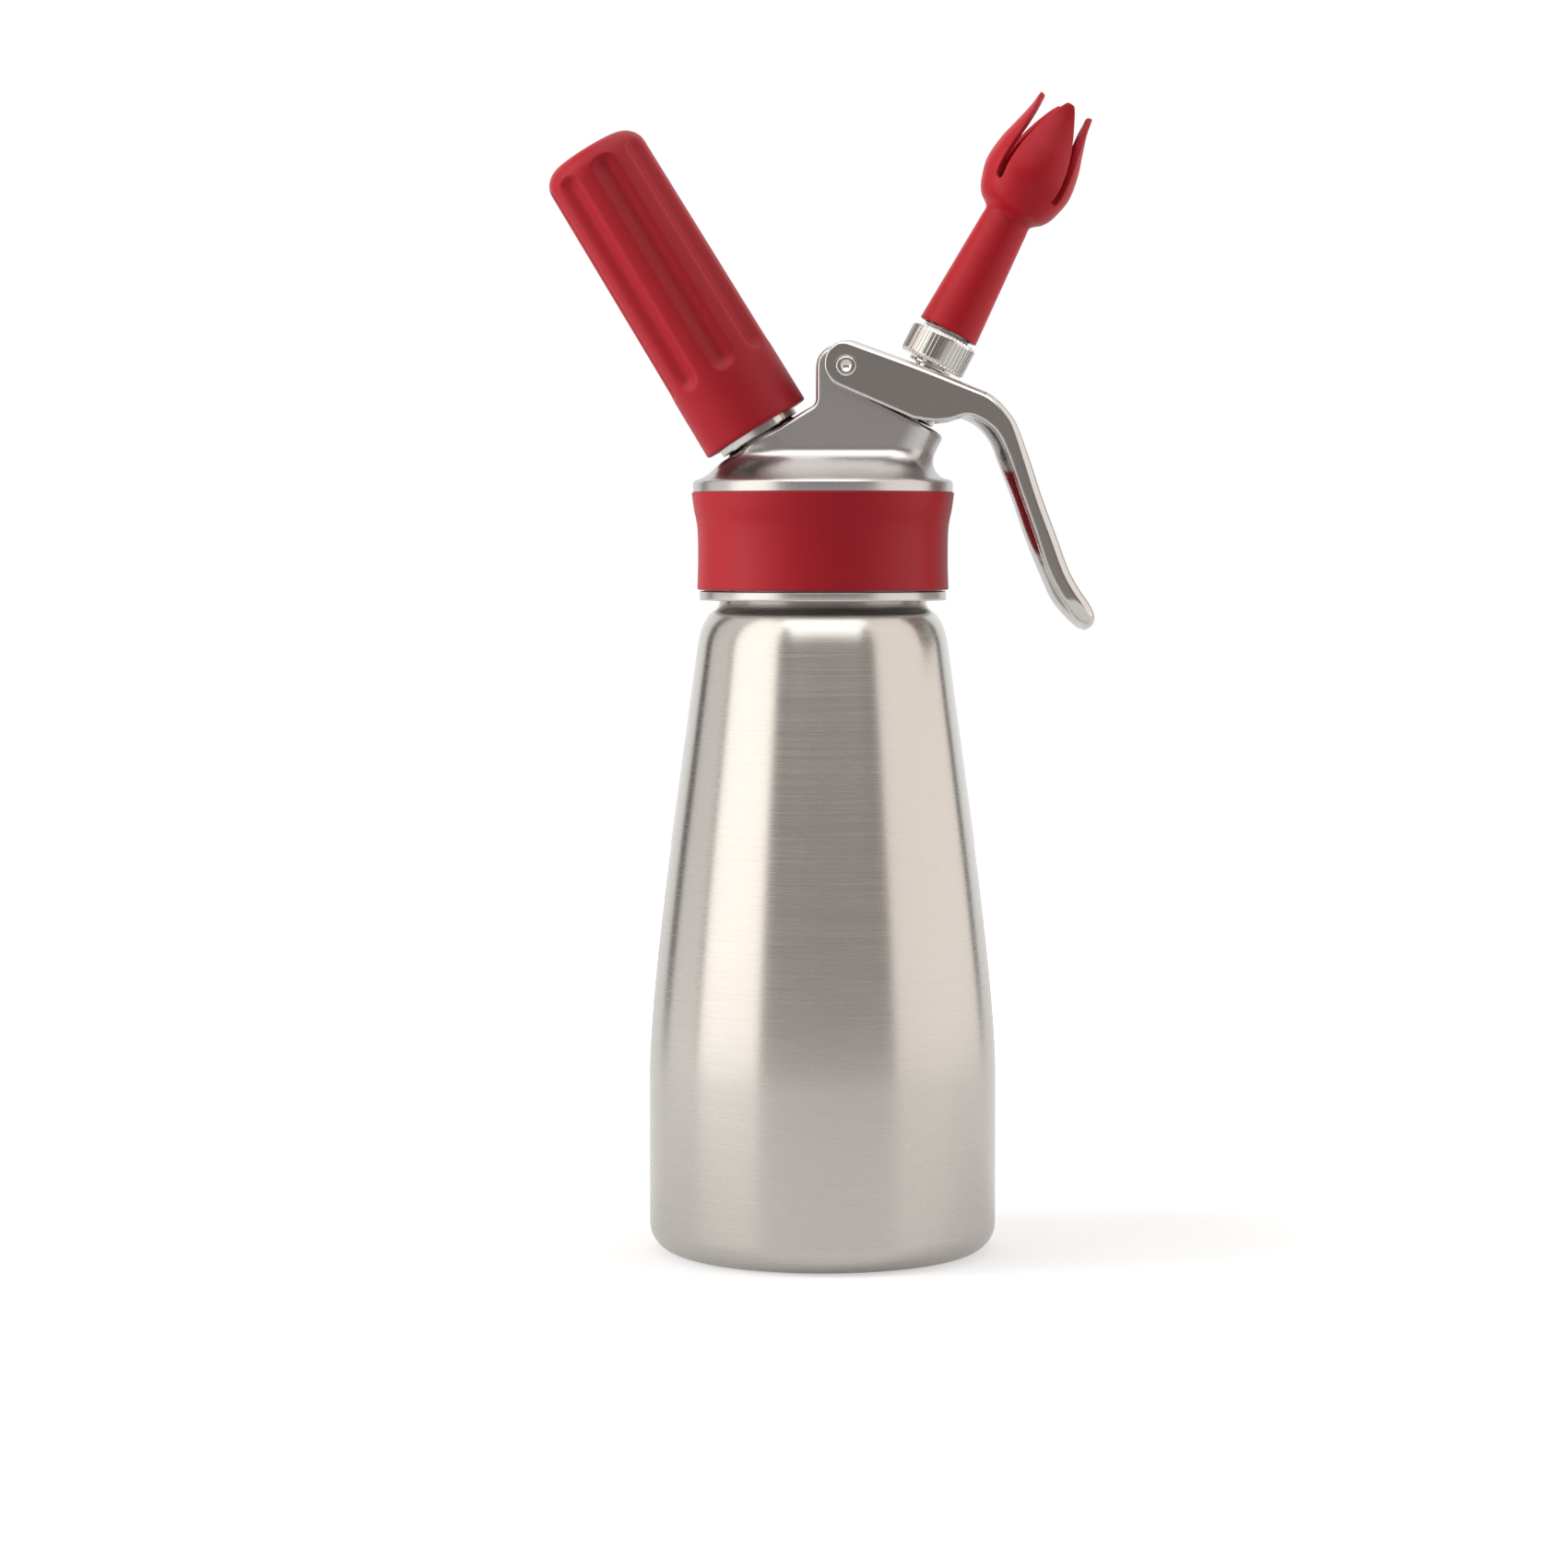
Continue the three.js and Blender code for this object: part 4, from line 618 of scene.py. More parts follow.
def make_head_casting(satin):
    trim = sampled(trim_outline(), TRIM_STEP)
    nose = PISTON_REACH / math.cos(math.radians(PISTON_LEAN))
    ridge = thread(NIPPLE_LOW, NIPPLE_HEIGHT, HOLDER_PITCH, NIPPLE_THREAD)

    def field(x, y, z):
        drop = np.clip(1 - (z - COVE_START) / COVE_HEIGHT, 0, 1)
        share = np.sqrt(np.maximum(1 - drop ** 2, 0))
        right_end = PISTON_FOOT[0] + (z - PISTON_FOOT[2]) * FALL + nose
        left_end = HOLDER_FOOT[0] - (z - HOLDER_FOOT[2]) * CLIMB - HEEL
        left, right = (left_end + LEFT_BEND) * share, (right_end - RIGHT_BEND) * share
        radius = COVE_RADIUS + (SLAB_HALF - COVE_RADIUS) * share
        beyond = x - np.clip(x, left, right)
        bend = np.where(beyond < 0, LEFT_BEND, RIGHT_BEND)
        level = np.hypot(beyond * (1 + (SLAB_HALF / bend - 1) * share), y) - radius
        body = round_max(level, trim(x, z), SLAB_EDGE)
        body = np.maximum(body, COVE_START - SLAB_SINK - z)
        r, t, a = axis_coordinates(x, z, y, HOLDER_FOOT, HOLDER_LEAN)
        ends = np.abs(t - NIPPLE_MIDDLE) - (NIPPLE_HEIGHT - NIPPLE_MIDDLE)
        nipple = round_max(r - NIPPLE_RADIUS + ridge(t, a), ends, NIPPLE_EDGE)
        body = round_min(body, nipple, NIPPLE_FILLET)
        body = np.maximum(body, -np.maximum(r - NIPPLE_BORE, PIERCER_START - t))
        r, t, a = axis_coordinates(x, z, y, PISTON_FOOT, PISTON_LEAN)
        body = round_max(body, -np.maximum(r - COUNTER_RADIUS, -COUNTER_DEPTH - t), COUNTER_EDGE)
        body = np.maximum(body, -(r - BUSH_RADIUS - GAP))
        pin = np.hypot(x - PIVOT[0], z - PIVOT[1]) - PIN_RADIUS - PIN_CLEARANCE
        return round_max(body, -pin, SLIM)

    across, height = CASTING_REACH - WIDE, PIVOT[1] + LUG_BEND + WIDE
    low, high = (-CASTING_REACH, -across, COVE_START - DEEP), (CASTING_REACH, across, height)
    casting = surface("head_casting", field, low, high, CASTING_STEP)
    dress(casting, "head", satin, "head_steel")


def make_head_hidden(satin):
    seat = ring("valve_seat", ROD_RADIUS + EDGE, SEAT_RADIUS, -SEAT_RIDGE, SEAT_HEIGHT, SMOOTH)
    dress(on_piston(seat), "head", satin, "head_steel")


def make_collar(red):
    low, high = SKIRT_BOTTOM + SKIRT_HEIGHT + GAP, RIM_BOTTOM - GAP
    waist = low + (high - low) * WAIST_SHARE
    inner = BARREL_RADIUS + GAP
    side = spline([(COLLAR_BOTTOM, low), (COLLAR_BOTTOM - COLLAR_TAPER, low + COLLAR_FOOT),
                   (COLLAR_WAIST, waist), (COLLAR_WAIST + FINE, (waist + high) / 2),
                   (COLLAR_TOP - COLLAR_FLARE, high - COLLAR_BROW), (COLLAR_TOP, high)], 10)[1:-1]
    outline = [(inner, low)]
    outline += bezier([(COLLAR_BOTTOM - COLLAR_EDGE, low), (COLLAR_BOTTOM, low), side[0]], 5)
    outline += [tuple(p) for p in side[1:]]
    outline += bezier([side[-1], (COLLAR_TOP, high), (COLLAR_TOP - COLLAR_EDGE, high)], 6)
    outline.append((inner, high))
    dress(turned("collar_sleeve", outline), "head", red, "red_silicone", "heat_collar")


# Lever

def run(shares, steps=8):
    """Smooth run along the lever from shares of its reach and drop."""
    return spline([(REACH * across, -DROP * down) for across, down in shares], steps)


def make_lever(steel):
    top, outer = run(TOP_SHARES, 10), run(OUTER_SHARES)
    rear = [(REAR_CENTRE[0] + REAR_RADIUS * math.cos(t), REAR_CENTRE[1] + REAR_RADIUS * math.sin(t))
            for t in np.radians(np.linspace(REAR_FROM, REAR_TO, REAR_STEPS))]
    outside, bulging = [sampled(np.vstack([top, outer[1:], run(shares)[1:], rear]), PROFILE_STEP)
                        for shares in (INNER_SHARES, SPINE_SHARES)]
    start, end = top[0], top[-1]
    along = (end - start) / np.linalg.norm(end - start)
    normal = np.array([-along[1], along[0]])
    edge = sampled(np.vstack([top, outer[1:]]), ROW_STEP, line_distance)
    turn = math.radians(PISTON_LEAN)
    foot = (PISTON_FOOT[0] - PIVOT[0], 0, PISTON_FOOT[2] - PIVOT[1])

    def field(x, y, z):
        side = np.abs(y)
        fall = np.clip(1 - (side / BULGE_HALF) ** BULGE_POWER, 0, 1)
        profile = outside(x, z) * (1 - fall) + bulging(x, z) * fall
        front_y, front_z = side - (HALF_WIDTH - TIP_CORNER), -z - (DROP + TIP_MARGIN - TIP_CORNER)
        front = np.hypot(np.maximum(front_y, 0), np.maximum(front_z, 0)) - TIP_CORNER
        front = front + np.minimum(np.maximum(front_y, front_z), 0)
        outer_round = EDGE_ROUND + (HANDLE_ROUND - EDGE_ROUND) * eased((-z - HANDLE_START) / HANDLE_FADE)
        radius = outer_round + (RIM_ROUND - outer_round) * eased(edge(x, z) / EDGE_FADE)
        body = round_max(profile, front, radius)
        depth = (x - start[0]) * normal[0] + (z - start[1]) * normal[1]
        channel = round_max(x - CHANNEL_END, depth + PLATE, CHANNEL_ROUND)
        channel = round_max(side - HALF_GAP, channel, CHANNEL_EDGE)
        body = round_max(body, -channel, EDGE)
        dx, dz = x - foot[0], z - foot[2]
        across = dx * math.cos(turn) - dz * math.sin(turn)
        up = dx * math.sin(turn) + dz * math.cos(turn)
        slot = np.hypot(across - np.clip(across, -SLOT_TRAVEL, SLOT_TRAVEL), y) - SLOT_RADIUS
        body = round_max(body, -np.maximum(slot, -up), SMOOTH)
        pin = np.hypot(x, z) - PIN_RADIUS - PIN_CLEARANCE
        return round_max(body, -pin, EDGE)

    arm = surface("lever_arm", field, LEVER_LOW, LEVER_HIGH, LEVER_STEP)
    arm.location = Vector((PIVOT[0], 0, PIVOT[1])) * MM
    bpy.context.view_layer.update()
    dress(arm, "lever", steel, "lever_steel", "lever")


def make_pin(steel):
    face = HALF_WIDTH + GAP
    top = face + PIN_HEIGHT
    floor = top - DIMPLE_DEPTH
    half = [(PIN_RADIUS, face), (PIN_HEAD - TINY, face), (PIN_HEAD, face + TINY), (PIN_HEAD, face + SLIM)]
    half += bezier([half[-1], (PIN_HEAD, top), (PIN_HEAD - BROAD, top)], 6)
    half += bezier([half[-1], (DIMPLE_OUTER, top), (DIMPLE_RADIUS, top - DIMPLE_LIP)], 4)
    half += bezier([half[-1], (DIMPLE_FLOOR, floor), (0, floor)], 5)
    outline = half + [(r, -h) for r, h in half[::-1]]
    pin = turned("pin_rivet", outline, SMALL_ROUND)
    centre = Matrix.Translation(Vector((PIVOT[0], 0, PIVOT[1])) * MM)
    pin.matrix_world = centre @ Matrix.Rotation(math.pi / 2, 4, "X")
    dress(pin, "head", steel, "polished_steel", "lever_pin")


# Piston, its spring and its seals

def make_piston(steel, spring_steel, pale):
    hole = ROD_RADIUS + GAP
    flange = -SEAT_RIDGE - FOOT_SEAL - 2 * GAP
    rod = turned("rod_tube", [
        (0, flange - FOOT_THICK), (FOOT_RADIUS - WIDE, flange - FOOT_THICK),
        (FOOT_RADIUS, flange - FOOT_THICK / 2), (FOOT_RADIUS, flange), (ROD_RADIUS, flange),
        (ROD_RADIUS, ROD_TOP - EDGE), (ROD_RADIUS - EDGE, ROD_TOP), (ROD_BORE, ROD_TOP),
        (ROD_BORE, flange), (0, flange)], SMALL_ROUND)
    dress(on_piston(rod), "piston", steel, "polished_steel", "piston_rod")
    foot = ring("foot_seal", hole, SEAT_RADIUS - GAP, flange + GAP, FOOT_SEAL, EDGE)
    dress(on_piston(foot), "piston", pale, "pale_silicone", "valve_seal")
    bush_low = -COUNTER_DEPTH - GAP - BUSH_HEIGHT
    bush = ring("bush_ring", hole, BUSH_RADIUS, bush_low, BUSH_HEIGHT)
    dress(on_piston(bush), "head", steel, "polished_steel", "guide_bush")
    seal = ring("seal_ring", hole, BUSH_RADIUS, bush_low - GAP - SEAL_HEIGHT, SEAL_HEIGHT, BROAD)
    dress(on_piston(seal), "head", pale, "pale_silicone", "rod_seal")
    inner = CUP_R - CUP_WALL
    cup = turned("cup_shell", rounded([
        (hole, CUP_CROWN), (hole, CUP_CROWN - CUP_WALL), (CUP_CROWN_R - EDGE, CUP_CROWN - CUP_WALL),
        (inner, CUP_EDGE - CUP_WALL), (inner, CUP_LOW), (CUP_R, CUP_LOW), (CUP_R, CUP_EDGE),
        (CUP_CROWN_R, CUP_CROWN)], CUP_EDGES, 5), SMALL_ROUND)
    dress(on_piston(cup), "piston", steel, "polished_steel", "spring_cup")
    clip = ring("clip_ring", ROD_RADIUS - FINE, CLIP_RADIUS, CUP_CROWN + GAP, CLIP_THICK, THIN)
    dress(on_piston(clip), "piston", spring_steel, "spring_steel", "retaining_ring")
    washer = ring("washer_ring", hole, WASHER_RADIUS, WASHER_START, WASHER_THICK)
    dress(on_piston(washer), "washer", steel, "polished_steel", "adapter_washer")


def make_spring(steel):
    low = -COUNTER_DEPTH + GAP + WIRE / 2
    high = CUP_CROWN - CUP_WALL - GAP - WIRE / 2
    steps, sides = int(SPRING_COILS * COIL_STEPS), WIRE_SIDES
    i = np.arange(steps + 1)
    turn = TAU * i / COIL_STEPS
    dead = DEAD_COILS * COIL_STEPS
    level = np.clip((i - dead) / (steps - 2 * dead), 0, 1)
    rise = WIRE * DEAD_RISE
    climb = np.minimum(i / dead, 1) * rise + np.maximum((i - steps + dead) / dead, 0) * rise
    height = low + climb + level * (high - low - 2 * rise)
    path = np.stack([SPRING_RADIUS * np.cos(turn), SPRING_RADIUS * np.sin(turn), height], 1)
    along = np.gradient(path, axis=0)
    along /= np.linalg.norm(along, axis=1, keepdims=True)
    out = np.stack([np.cos(turn), np.sin(turn), 0 * turn], 1)
    side = np.cross(along, out)
    angle = np.arange(sides) * TAU / sides
    outward_part, side_part = np.cos(angle)[None, :, None], np.sin(angle)[None, :, None]
    rings = path[:, None] + WIRE / 2 * (outward_part * out[:, None] + side_part * side[:, None])
    verts = np.vstack([rings.reshape(-1, 3), path[0], path[-1]])
    quads = grid_faces(steps + 1, sides, False)
    k = np.arange(sides)
    n, centre, end = (k + 1) % sides, np.full(sides, len(verts) - 2), steps * sides
    tri = np.vstack([quads[:, :3], quads[:, [0, 2, 3]], np.stack([centre, n, k], 1),
                     np.stack([centre + 1, end + k, end + n], 1)])
    spring = outward(mesh_piece("spring_coil", verts, tri, SHARP_SOFT))
    dress(on_piston(spring), "head", steel, "spring_steel", "piston_spring")
    turn = math.radians(PISTON_LEAN)
    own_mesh(spring)


# Adapter and tip

def make_adapter(steel):
    low, high, c = ADAPTER_START, ADAPTER_TOP, ADAPTER_CHAMFER
    wide, flat = ADAPTER_RADIUS, ADAPTER_RADIUS - c - SOFT
    outline = [(ROD_RADIUS + GAP, low), (flat, low), (wide - c, low + FAINT)]
    outline += [(wide - TINY, low + c), (wide, low + c + THIN)]
    outline += [(wide, z) for z in np.linspace(low + c + ADAPTER_INSET, high - c - ADAPTER_INSET, 8)]
    outline += [(wide, high - c - THIN), (wide - TINY, high - c), (wide - c, high - FAINT)]
    outline += [(flat, high), (SPIGOT_RADIUS + SMOOTH, high), (SPIGOT_RADIUS - EDGE, high + EDGE)]
    outline += [(SPIGOT_RADIUS, z) for z in np.arange(high + BROAD, SPIGOT_TOP - SPIGOT_LEAD, SPIGOT_ROW)]
    outline += [(SPIGOT_RADIUS, SPIGOT_TOP - SOFT), (SPIGOT_RADIUS - SOFT, SPIGOT_TOP)]
    outline += [(SPIGOT_BORE, SPIGOT_TOP), (SPIGOT_BORE, ROD_TOP + GAP), (ROD_RADIUS + GAP, ROD_TOP + GAP)]
    screw = threaded(SPIGOT_RADIUS, high + SPIGOT_FOOT, SPIGOT_TOP - SPIGOT_LEAD, TIP_PITCH, -SPIGOT_THREAD)

    def bump(radius, height, turn):
        wave = np.abs(2 * ((turn * KNURLS / TAU) % 1) - 1)
        groove = -KNURL_DEPTH * eased((wave - VALLEY_START) / VALLEY_SHARE)
        return np.where(radius > wide - EDGE, groove, 0) + screw(radius, height, turn)

    body = turned("adapter_knurl", outline, KNURLS * KNURL_SIDES, SHARP_KNURL, bump)
    dress(on_piston(body), "adapter", steel, "adapter_steel", "tip_adapter")


def make_tip_inside(steel, pale):
    low = TIP_START + GAP
    insert = ring("insert_sleeve", INSERT_INNER, INSERT_OUTER, low, POCKET_TOP - GAP - low)
    dress(on_piston(insert), "tip", steel, "polished_steel", "tip_thread_insert")
    seal = ring("tip_seal_ring", INSERT_INNER, INSERT_OUTER, ADAPTER_TOP + GAP, TIP_SEAL, THIN)
    dress(on_piston(seal), "tip_ring", pale, "pale_silicone", "tip_seal")


def make_tip(red):
    rise = PETAL_TIP - STEM_TOP
    bulb = [(BULB_RADIUS * out, STEM_TOP + rise * up) for up, out in BULB_SHARES]
    outer = spline([(TIP_BASE, TIP_START + TINY), (TIP_BASE - SOFT, TIP_START + TIP_BEND),
                    (STEM_RADIUS + SOFT, STEM_TOP - STEM_BEND),
                    (STEM_RADIUS + FAINT, STEM_TOP - STEM_END)] + bulb, 8)
    cavity = [(max(r - TIP_WALL, CHANNEL_RADIUS), z) for r, z in outer if z > STEM_TOP + CAVITY_START]
    outline = np.vstack([
        (POCKET_RADIUS, TIP_START), (TIP_BASE - EDGE, TIP_START), outer, cavity[::-1],
        (CHANNEL_RADIUS, STEM_TOP - WIDE), (CHANNEL_RADIUS, POCKET_TOP), (POCKET_RADIUS, POCKET_TOP)])
    shell = sampled(outline, FINE_STEP)
    wide = bulb[-1][0] / math.sqrt(2) - PETAL_HALF
    turns = [math.radians(PETAL_TURN + k) for k in (45, 135)]

    def field(x, y, z):
        body = shell(np.hypot(x, y), z)
        up = np.clip((z - SLIT_START) / (PETAL_TIP - SLIT_START), 0, 2)
        half = SLIT_HALF + SLIT_SPREAD * up + (wide - SLIT_HALF - SLIT_SPREAD) * up ** SLIT_POWER
        floor = SLIT_START - SLIT_SINK - z
        for turn in turns:
            across = np.abs(-x * math.sin(turn) + y * math.cos(turn))
            cut = round_max(across - half, floor, SLIT_HALF)
            body = round_max(body, -cut, SMOOTH)
        return body

    low, high = (-TIP_REACH, -TIP_REACH, TIP_START - WIDE), (TIP_REACH, TIP_REACH, PETAL_TIP + WIDE)
    tip = surface("tulip_shell", field, low, high, TIP_STEP)
    dress(on_piston(tip), "tip", red, "red_plastic", "tulip_tip")


# Charger side

def make_grip(red):
    top = SHELL_TOP + GRIP_WALL
    length = top - GRIP_START
    around = FLUTES * FLUTE_SIDES
    turn = np.arange(around) * TAU / around
    inner = SHELL_INNER + SHELL_WALL + GAP
    edge_centre = (GRIP_TOP - GRIP_EDGE, top - GRIP_EDGE)
    side = [(GRIP_BASE + (GRIP_TOP - GRIP_BASE) * (z - GRIP_START) / length, z)
            for z in np.linspace(GRIP_START + SOFT, top - GRIP_EDGE, GRIP_ROWS)]
    over = arc(edge_centre, GRIP_EDGE, 0, 90, GRIP_ARC)[1:]
    crown = bezier([over[-1], (edge_centre[0] / 2, top + THIN), (CROWN_HOLE, top + FINE)], 6)
    outside = [(inner, GRIP_START), (GRIP_BASE - SOFT, GRIP_START), (GRIP_BASE - THIN, GRIP_START + THIN)]
    outside += side + over + crown
    roof = SHELL_TOP + GAP
    inside = [(CROWN_HOLE, roof)] + arc((inner - GRIP_INNER, roof - GRIP_INNER), GRIP_INNER, 90, 0, 8)
    rows = np.array(outside + inside)
    count = len(outside)
    half_turn = math.pi / FLUTES
    gap_turn = (turn - math.radians(FLUTE_TURN - 90) + half_turn) % (2 * half_turn) - half_turn
    verts = []
    for k, (r, z) in enumerate(rows):
        depth = np.zeros(around)
        if 2 < k < count:
            reach = gap_turn * GRIP_TOP / FLUTE_HALF
            low_end, high_end = FLUTE_END + FLUTE_LIP, top - FLUTE_TOP - FLUTE_LIP
            end = max(0, (low_end - z) / FLUTE_LIP, (z - high_end) / FLUTE_LIP)
            rho = np.clip(np.sqrt(reach ** 2 + end ** 2), 0, 1)
            depth = FLUTE_DEPTH * ((1 + np.cos(math.pi * rho)) / 2) ** FLUTE_POWER
        r = r - depth
        verts.append(np.stack([r * np.cos(turn), r * np.sin(turn), np.full(around, z)], 1))
    faces = grid_faces(len(rows), around, True)
    grip = outward(mesh_piece("grip_sleeve", np.vstack(verts), faces, SHARP_GRIP))
    dress(on_holder(grip), "holder", red, "red_silicone", "charger_grip")


def make_holder(steel, charger_steel):
    outer = SHELL_INNER + SHELL_WALL
    bend = SHELL_INNER / 2
    inner_top = SHELL_TOP - SHELL_CROWN
    outline = [(SHELL_INNER, SHELL_RIM + SLIM), (SHELL_INNER + SLIM, SHELL_RIM), (outer - EDGE, SHELL_RIM),
               (outer, SHELL_RIM + EDGE)]
    outline += arc((outer - bend, SHELL_TOP - bend), bend, 0, 90, 8) + [(0, SHELL_TOP), (0, inner_top)]
    outline += arc((SHELL_INNER - bend, inner_top - bend), bend, 90, 0, 8)
    outline += [(SHELL_INNER, z) for z in np.arange(HOLDER_ROWS, SHELL_RIM + HOLDER_LEAD, -FINE_ROW)]
    screw = threaded(SHELL_INNER, SHELL_RIM + EDGE, HOLDER_HIGH, HOLDER_PITCH, -HOLDER_THREAD, HALF_TURN)
    shell = turned("holder_shell", outline, bump=screw)
    dress(on_holder(shell), "holder", steel, "polished_steel", "charger_holder")
    neck, wide, wall = CHARGER_NECK_R, CHARGER_RADIUS, CHARGER_WALL
    neck_top, end = CHARGER_START + CHARGER_NECK, CHARGER_START + CHARGER_LENGTH
    shoulder = neck_top + CHARGER_SHOULDER
    bowl = (wide - CHARGER_END, end - CHARGER_END)
    start = CHARGER_START
    outline = [(CHARGER_HOLE, start + FINE), (neck - EDGE, start), (neck, start + EDGE)]
    outline += bezier([(neck, neck_top), (neck, neck_top + DEEP), (wide, shoulder - SHOULDER_PULL),
                       (wide, shoulder)], 12)
    outline += arc(bowl, CHARGER_END, 0, 90, 10) + [(0, end), (0, end - wall)]
    outline += arc(bowl, CHARGER_END - wall, 90, 0, 6) + [(wide - wall, shoulder + WIDE)]
    outline += [(neck - wall, neck_top + WIDE), (neck - wall, start + wall), (CHARGER_HOLE, start + wall)]
    body = turned("charger_body", outline, SMALL_ROUND)
    dress(on_holder(body), "charger", charger_steel, "charger_steel", "gas_charger")


def make_gas_parts(steel, pale):
    plug = NIPPLE_BORE - GAP
    pin = turned("piercer_plug", [
        (PIERCER_HOLE, PIERCER_START), (plug, PIERCER_START), (plug, PIERCER_TOP - EDGE),
        (plug - EDGE, PIERCER_TOP), (PIERCER_RADIUS, PIERCER_TOP),
        (PIERCER_RADIUS, PIERCER_TIP - PIERCER_POINT), (PIERCER_END, PIERCER_TIP),
        (PIERCER_HOLE, PIERCER_TIP)], LEAST_ROUND)
    dress(on_holder(pin), "head", steel, "polished_steel", "piercing_pin")
    seal = ring("neck_seal", NECK_SEAL_BORE, plug, PIERCER_TOP + GAP, NECK_SEAL_THICK, SMOOTH, LEAST_ROUND)
    dress(on_holder(seal), "head", pale, "pale_silicone", "charger_seal")
    ceiling = -(HOLDER_FOOT[2] - CAVITY_TOP) / math.cos(math.radians(HOLDER_LEAN))
    lowest = ceiling - GAS_BORE - VALVE_CAP
    stem = GAS_BORE - GAP
    valve = turned("check_cap", rounded([
        (0, lowest - VALVE_CAP), (VALVE_RADIUS, lowest - VALVE_CAP / 2), (VALVE_RADIUS, lowest),
        (stem, lowest), (stem, ceiling + VALVE_STEM), (0, ceiling + VALVE_STEM)], VALVE_EDGES), LEAST_ROUND)
    dress(on_holder(valve), "head", pale, "pale_silicone", "check_valve")


# Materials

def new_material(name):
    material = bpy.data.materials.new(name)
    material.use_nodes = True
    tree = material.node_tree
    tree.nodes.clear()
    shader = tree.nodes.new("ShaderNodeBsdfPrincipled")
    output = tree.nodes.new("ShaderNodeOutputMaterial")
    tree.links.new(shader.outputs["BSDF"], output.inputs["Surface"])
    return material, tree, shader


def wire(tree, made, inputs):
    """Sets constants on a node's sockets and links the outputs of other nodes to them."""
    for key, value in inputs.items():
        if isinstance(value, bpy.types.NodeSocket):
            tree.links.new(value, made.inputs[key])
        else:
            made.inputs[key].default_value = value


def node(tree, kind, inputs={}, **settings):
    made = tree.nodes.new(kind)
    for key, value in settings.items():
        setattr(made, key, value)
    wire(tree, made, inputs)
    return made


def noise(tree, scale, stretch, detail=3):
    """Noise in the piece's own coordinates, squeezed along some axes."""
    where = node(tree, "ShaderNodeTexCoord").outputs["Object"]
    mapped = node(tree, "ShaderNodeMapping", {"Vector": where, "Scale": stretch}).outputs["Vector"]
    return node(tree, "ShaderNodeTexNoise", {
        "Vector": mapped, "Scale": scale, "Detail": detail, "Roughness": NOISE_ROUGH}).outputs["Fac"]


def ramp(tree, value, low, high, from_low=NOISE_LOW, from_high=NOISE_HIGH):
    made = node(tree, "ShaderNodeMapRange", {
        "Value": value, "From Min": from_low, "From Max": from_high, "To Min": low, "To Max": high})
    return made.outputs["Result"]


def dented(tree, strength, distance, height):
    """Normal of a faintly uneven surface."""
    return node(tree, "ShaderNodeBump", {
        "Strength": strength, "Distance": distance, "Height": height}).outputs["Normal"]


def steel_material(name, colour, low, high, stretch, scale, bump, anisotropic):
    """Steel whose fine brushing runs along the axes that the stretch leaves small."""
    material, tree, shader = new_material(name)
    grain, cloud = noise(tree, scale, stretch), noise(tree, CLOUD_SCALE, EVEN, 2)
    height = node(tree, "ShaderNodeMath", {0: grain, 1: cloud}, operation="ADD").outputs[0]
    wire(tree, shader, {"Base Color": (*colour, 1), "Metallic": 1, "Roughness": ramp(tree, grain, low, high),
                        "Normal": dented(tree, bump, STEEL_DENT, height)})
    if anisotropic:
        around = node(tree, "ShaderNodeTangent", direction_type="RADIAL", axis="Z")
        wire(tree, shader, {"Anisotropic": anisotropic, "Anisotropic Rotation": BRUSH_TURN,
                            "Tangent": around.outputs["Tangent"]})
    return material


def soft_material(name, colour, roughness, grain):
    """Silicone or plastic with a faint grain."""
    material, tree, shader = new_material(name)
    speck = noise(tree, GRAIN_SCALE, EVEN, 2)
    dark = tuple(c * GRAIN_SHADE for c in colour)
    tint = node(tree, "ShaderNodeMix", {"Factor": ramp(tree, speck, 0, 1)}, data_type="RGBA")
    tint.inputs[6].default_value = (*dark, 1)
    tint.inputs[7].default_value = (*colour, 1)
    wire(tree, shader, {"Base Color": tint.outputs[2], "Specular IOR Level": SOFT_SPECULAR,
                        "Roughness": ramp(tree, speck, roughness - ROUGH_LESS, roughness + ROUGH_MORE),
                        "Normal": dented(tree, grain, GRAIN_DENT, speck)})
    return material


# Stage

def emitter(name, size, place, aim, level, colour=WHITE):
    """Flat lamp whose level is its radiance."""
    light = bpy.data.lights.new(name, "AREA")
    light.shape = "RECTANGLE"
    light.size, light.size_y = size
    light.energy = math.pi * size[0] * size[1] * level
    light.color = colour
    lamp = linked(name, light)
    lamp.location = place
    lamp.rotation_euler = (Vector(aim) - Vector(place)).to_track_quat("-Z", "Y").to_euler()
    return lamp


def panel(name, corners, shade):
    """Flat sheet of the stage with a dull material of its own."""
    mesh = bpy.data.meshes.new(name)
    mesh.from_pydata(corners, [], [(0, 1, 2, 3)])
    sheet = linked(name, mesh)
    material, tree, shader = new_material(name)
    wire(tree, shader, {"Base Color": (shade, shade, shade, 1), "Specular IOR Level": 0})
    mesh.materials.append(material)
    return sheet, tree, shader


def ray_kinds(tree):
    path = node(tree, "ShaderNodeLightPath")
    return path.outputs["Is Camera Ray"], path.outputs["Is Glossy Ray"]


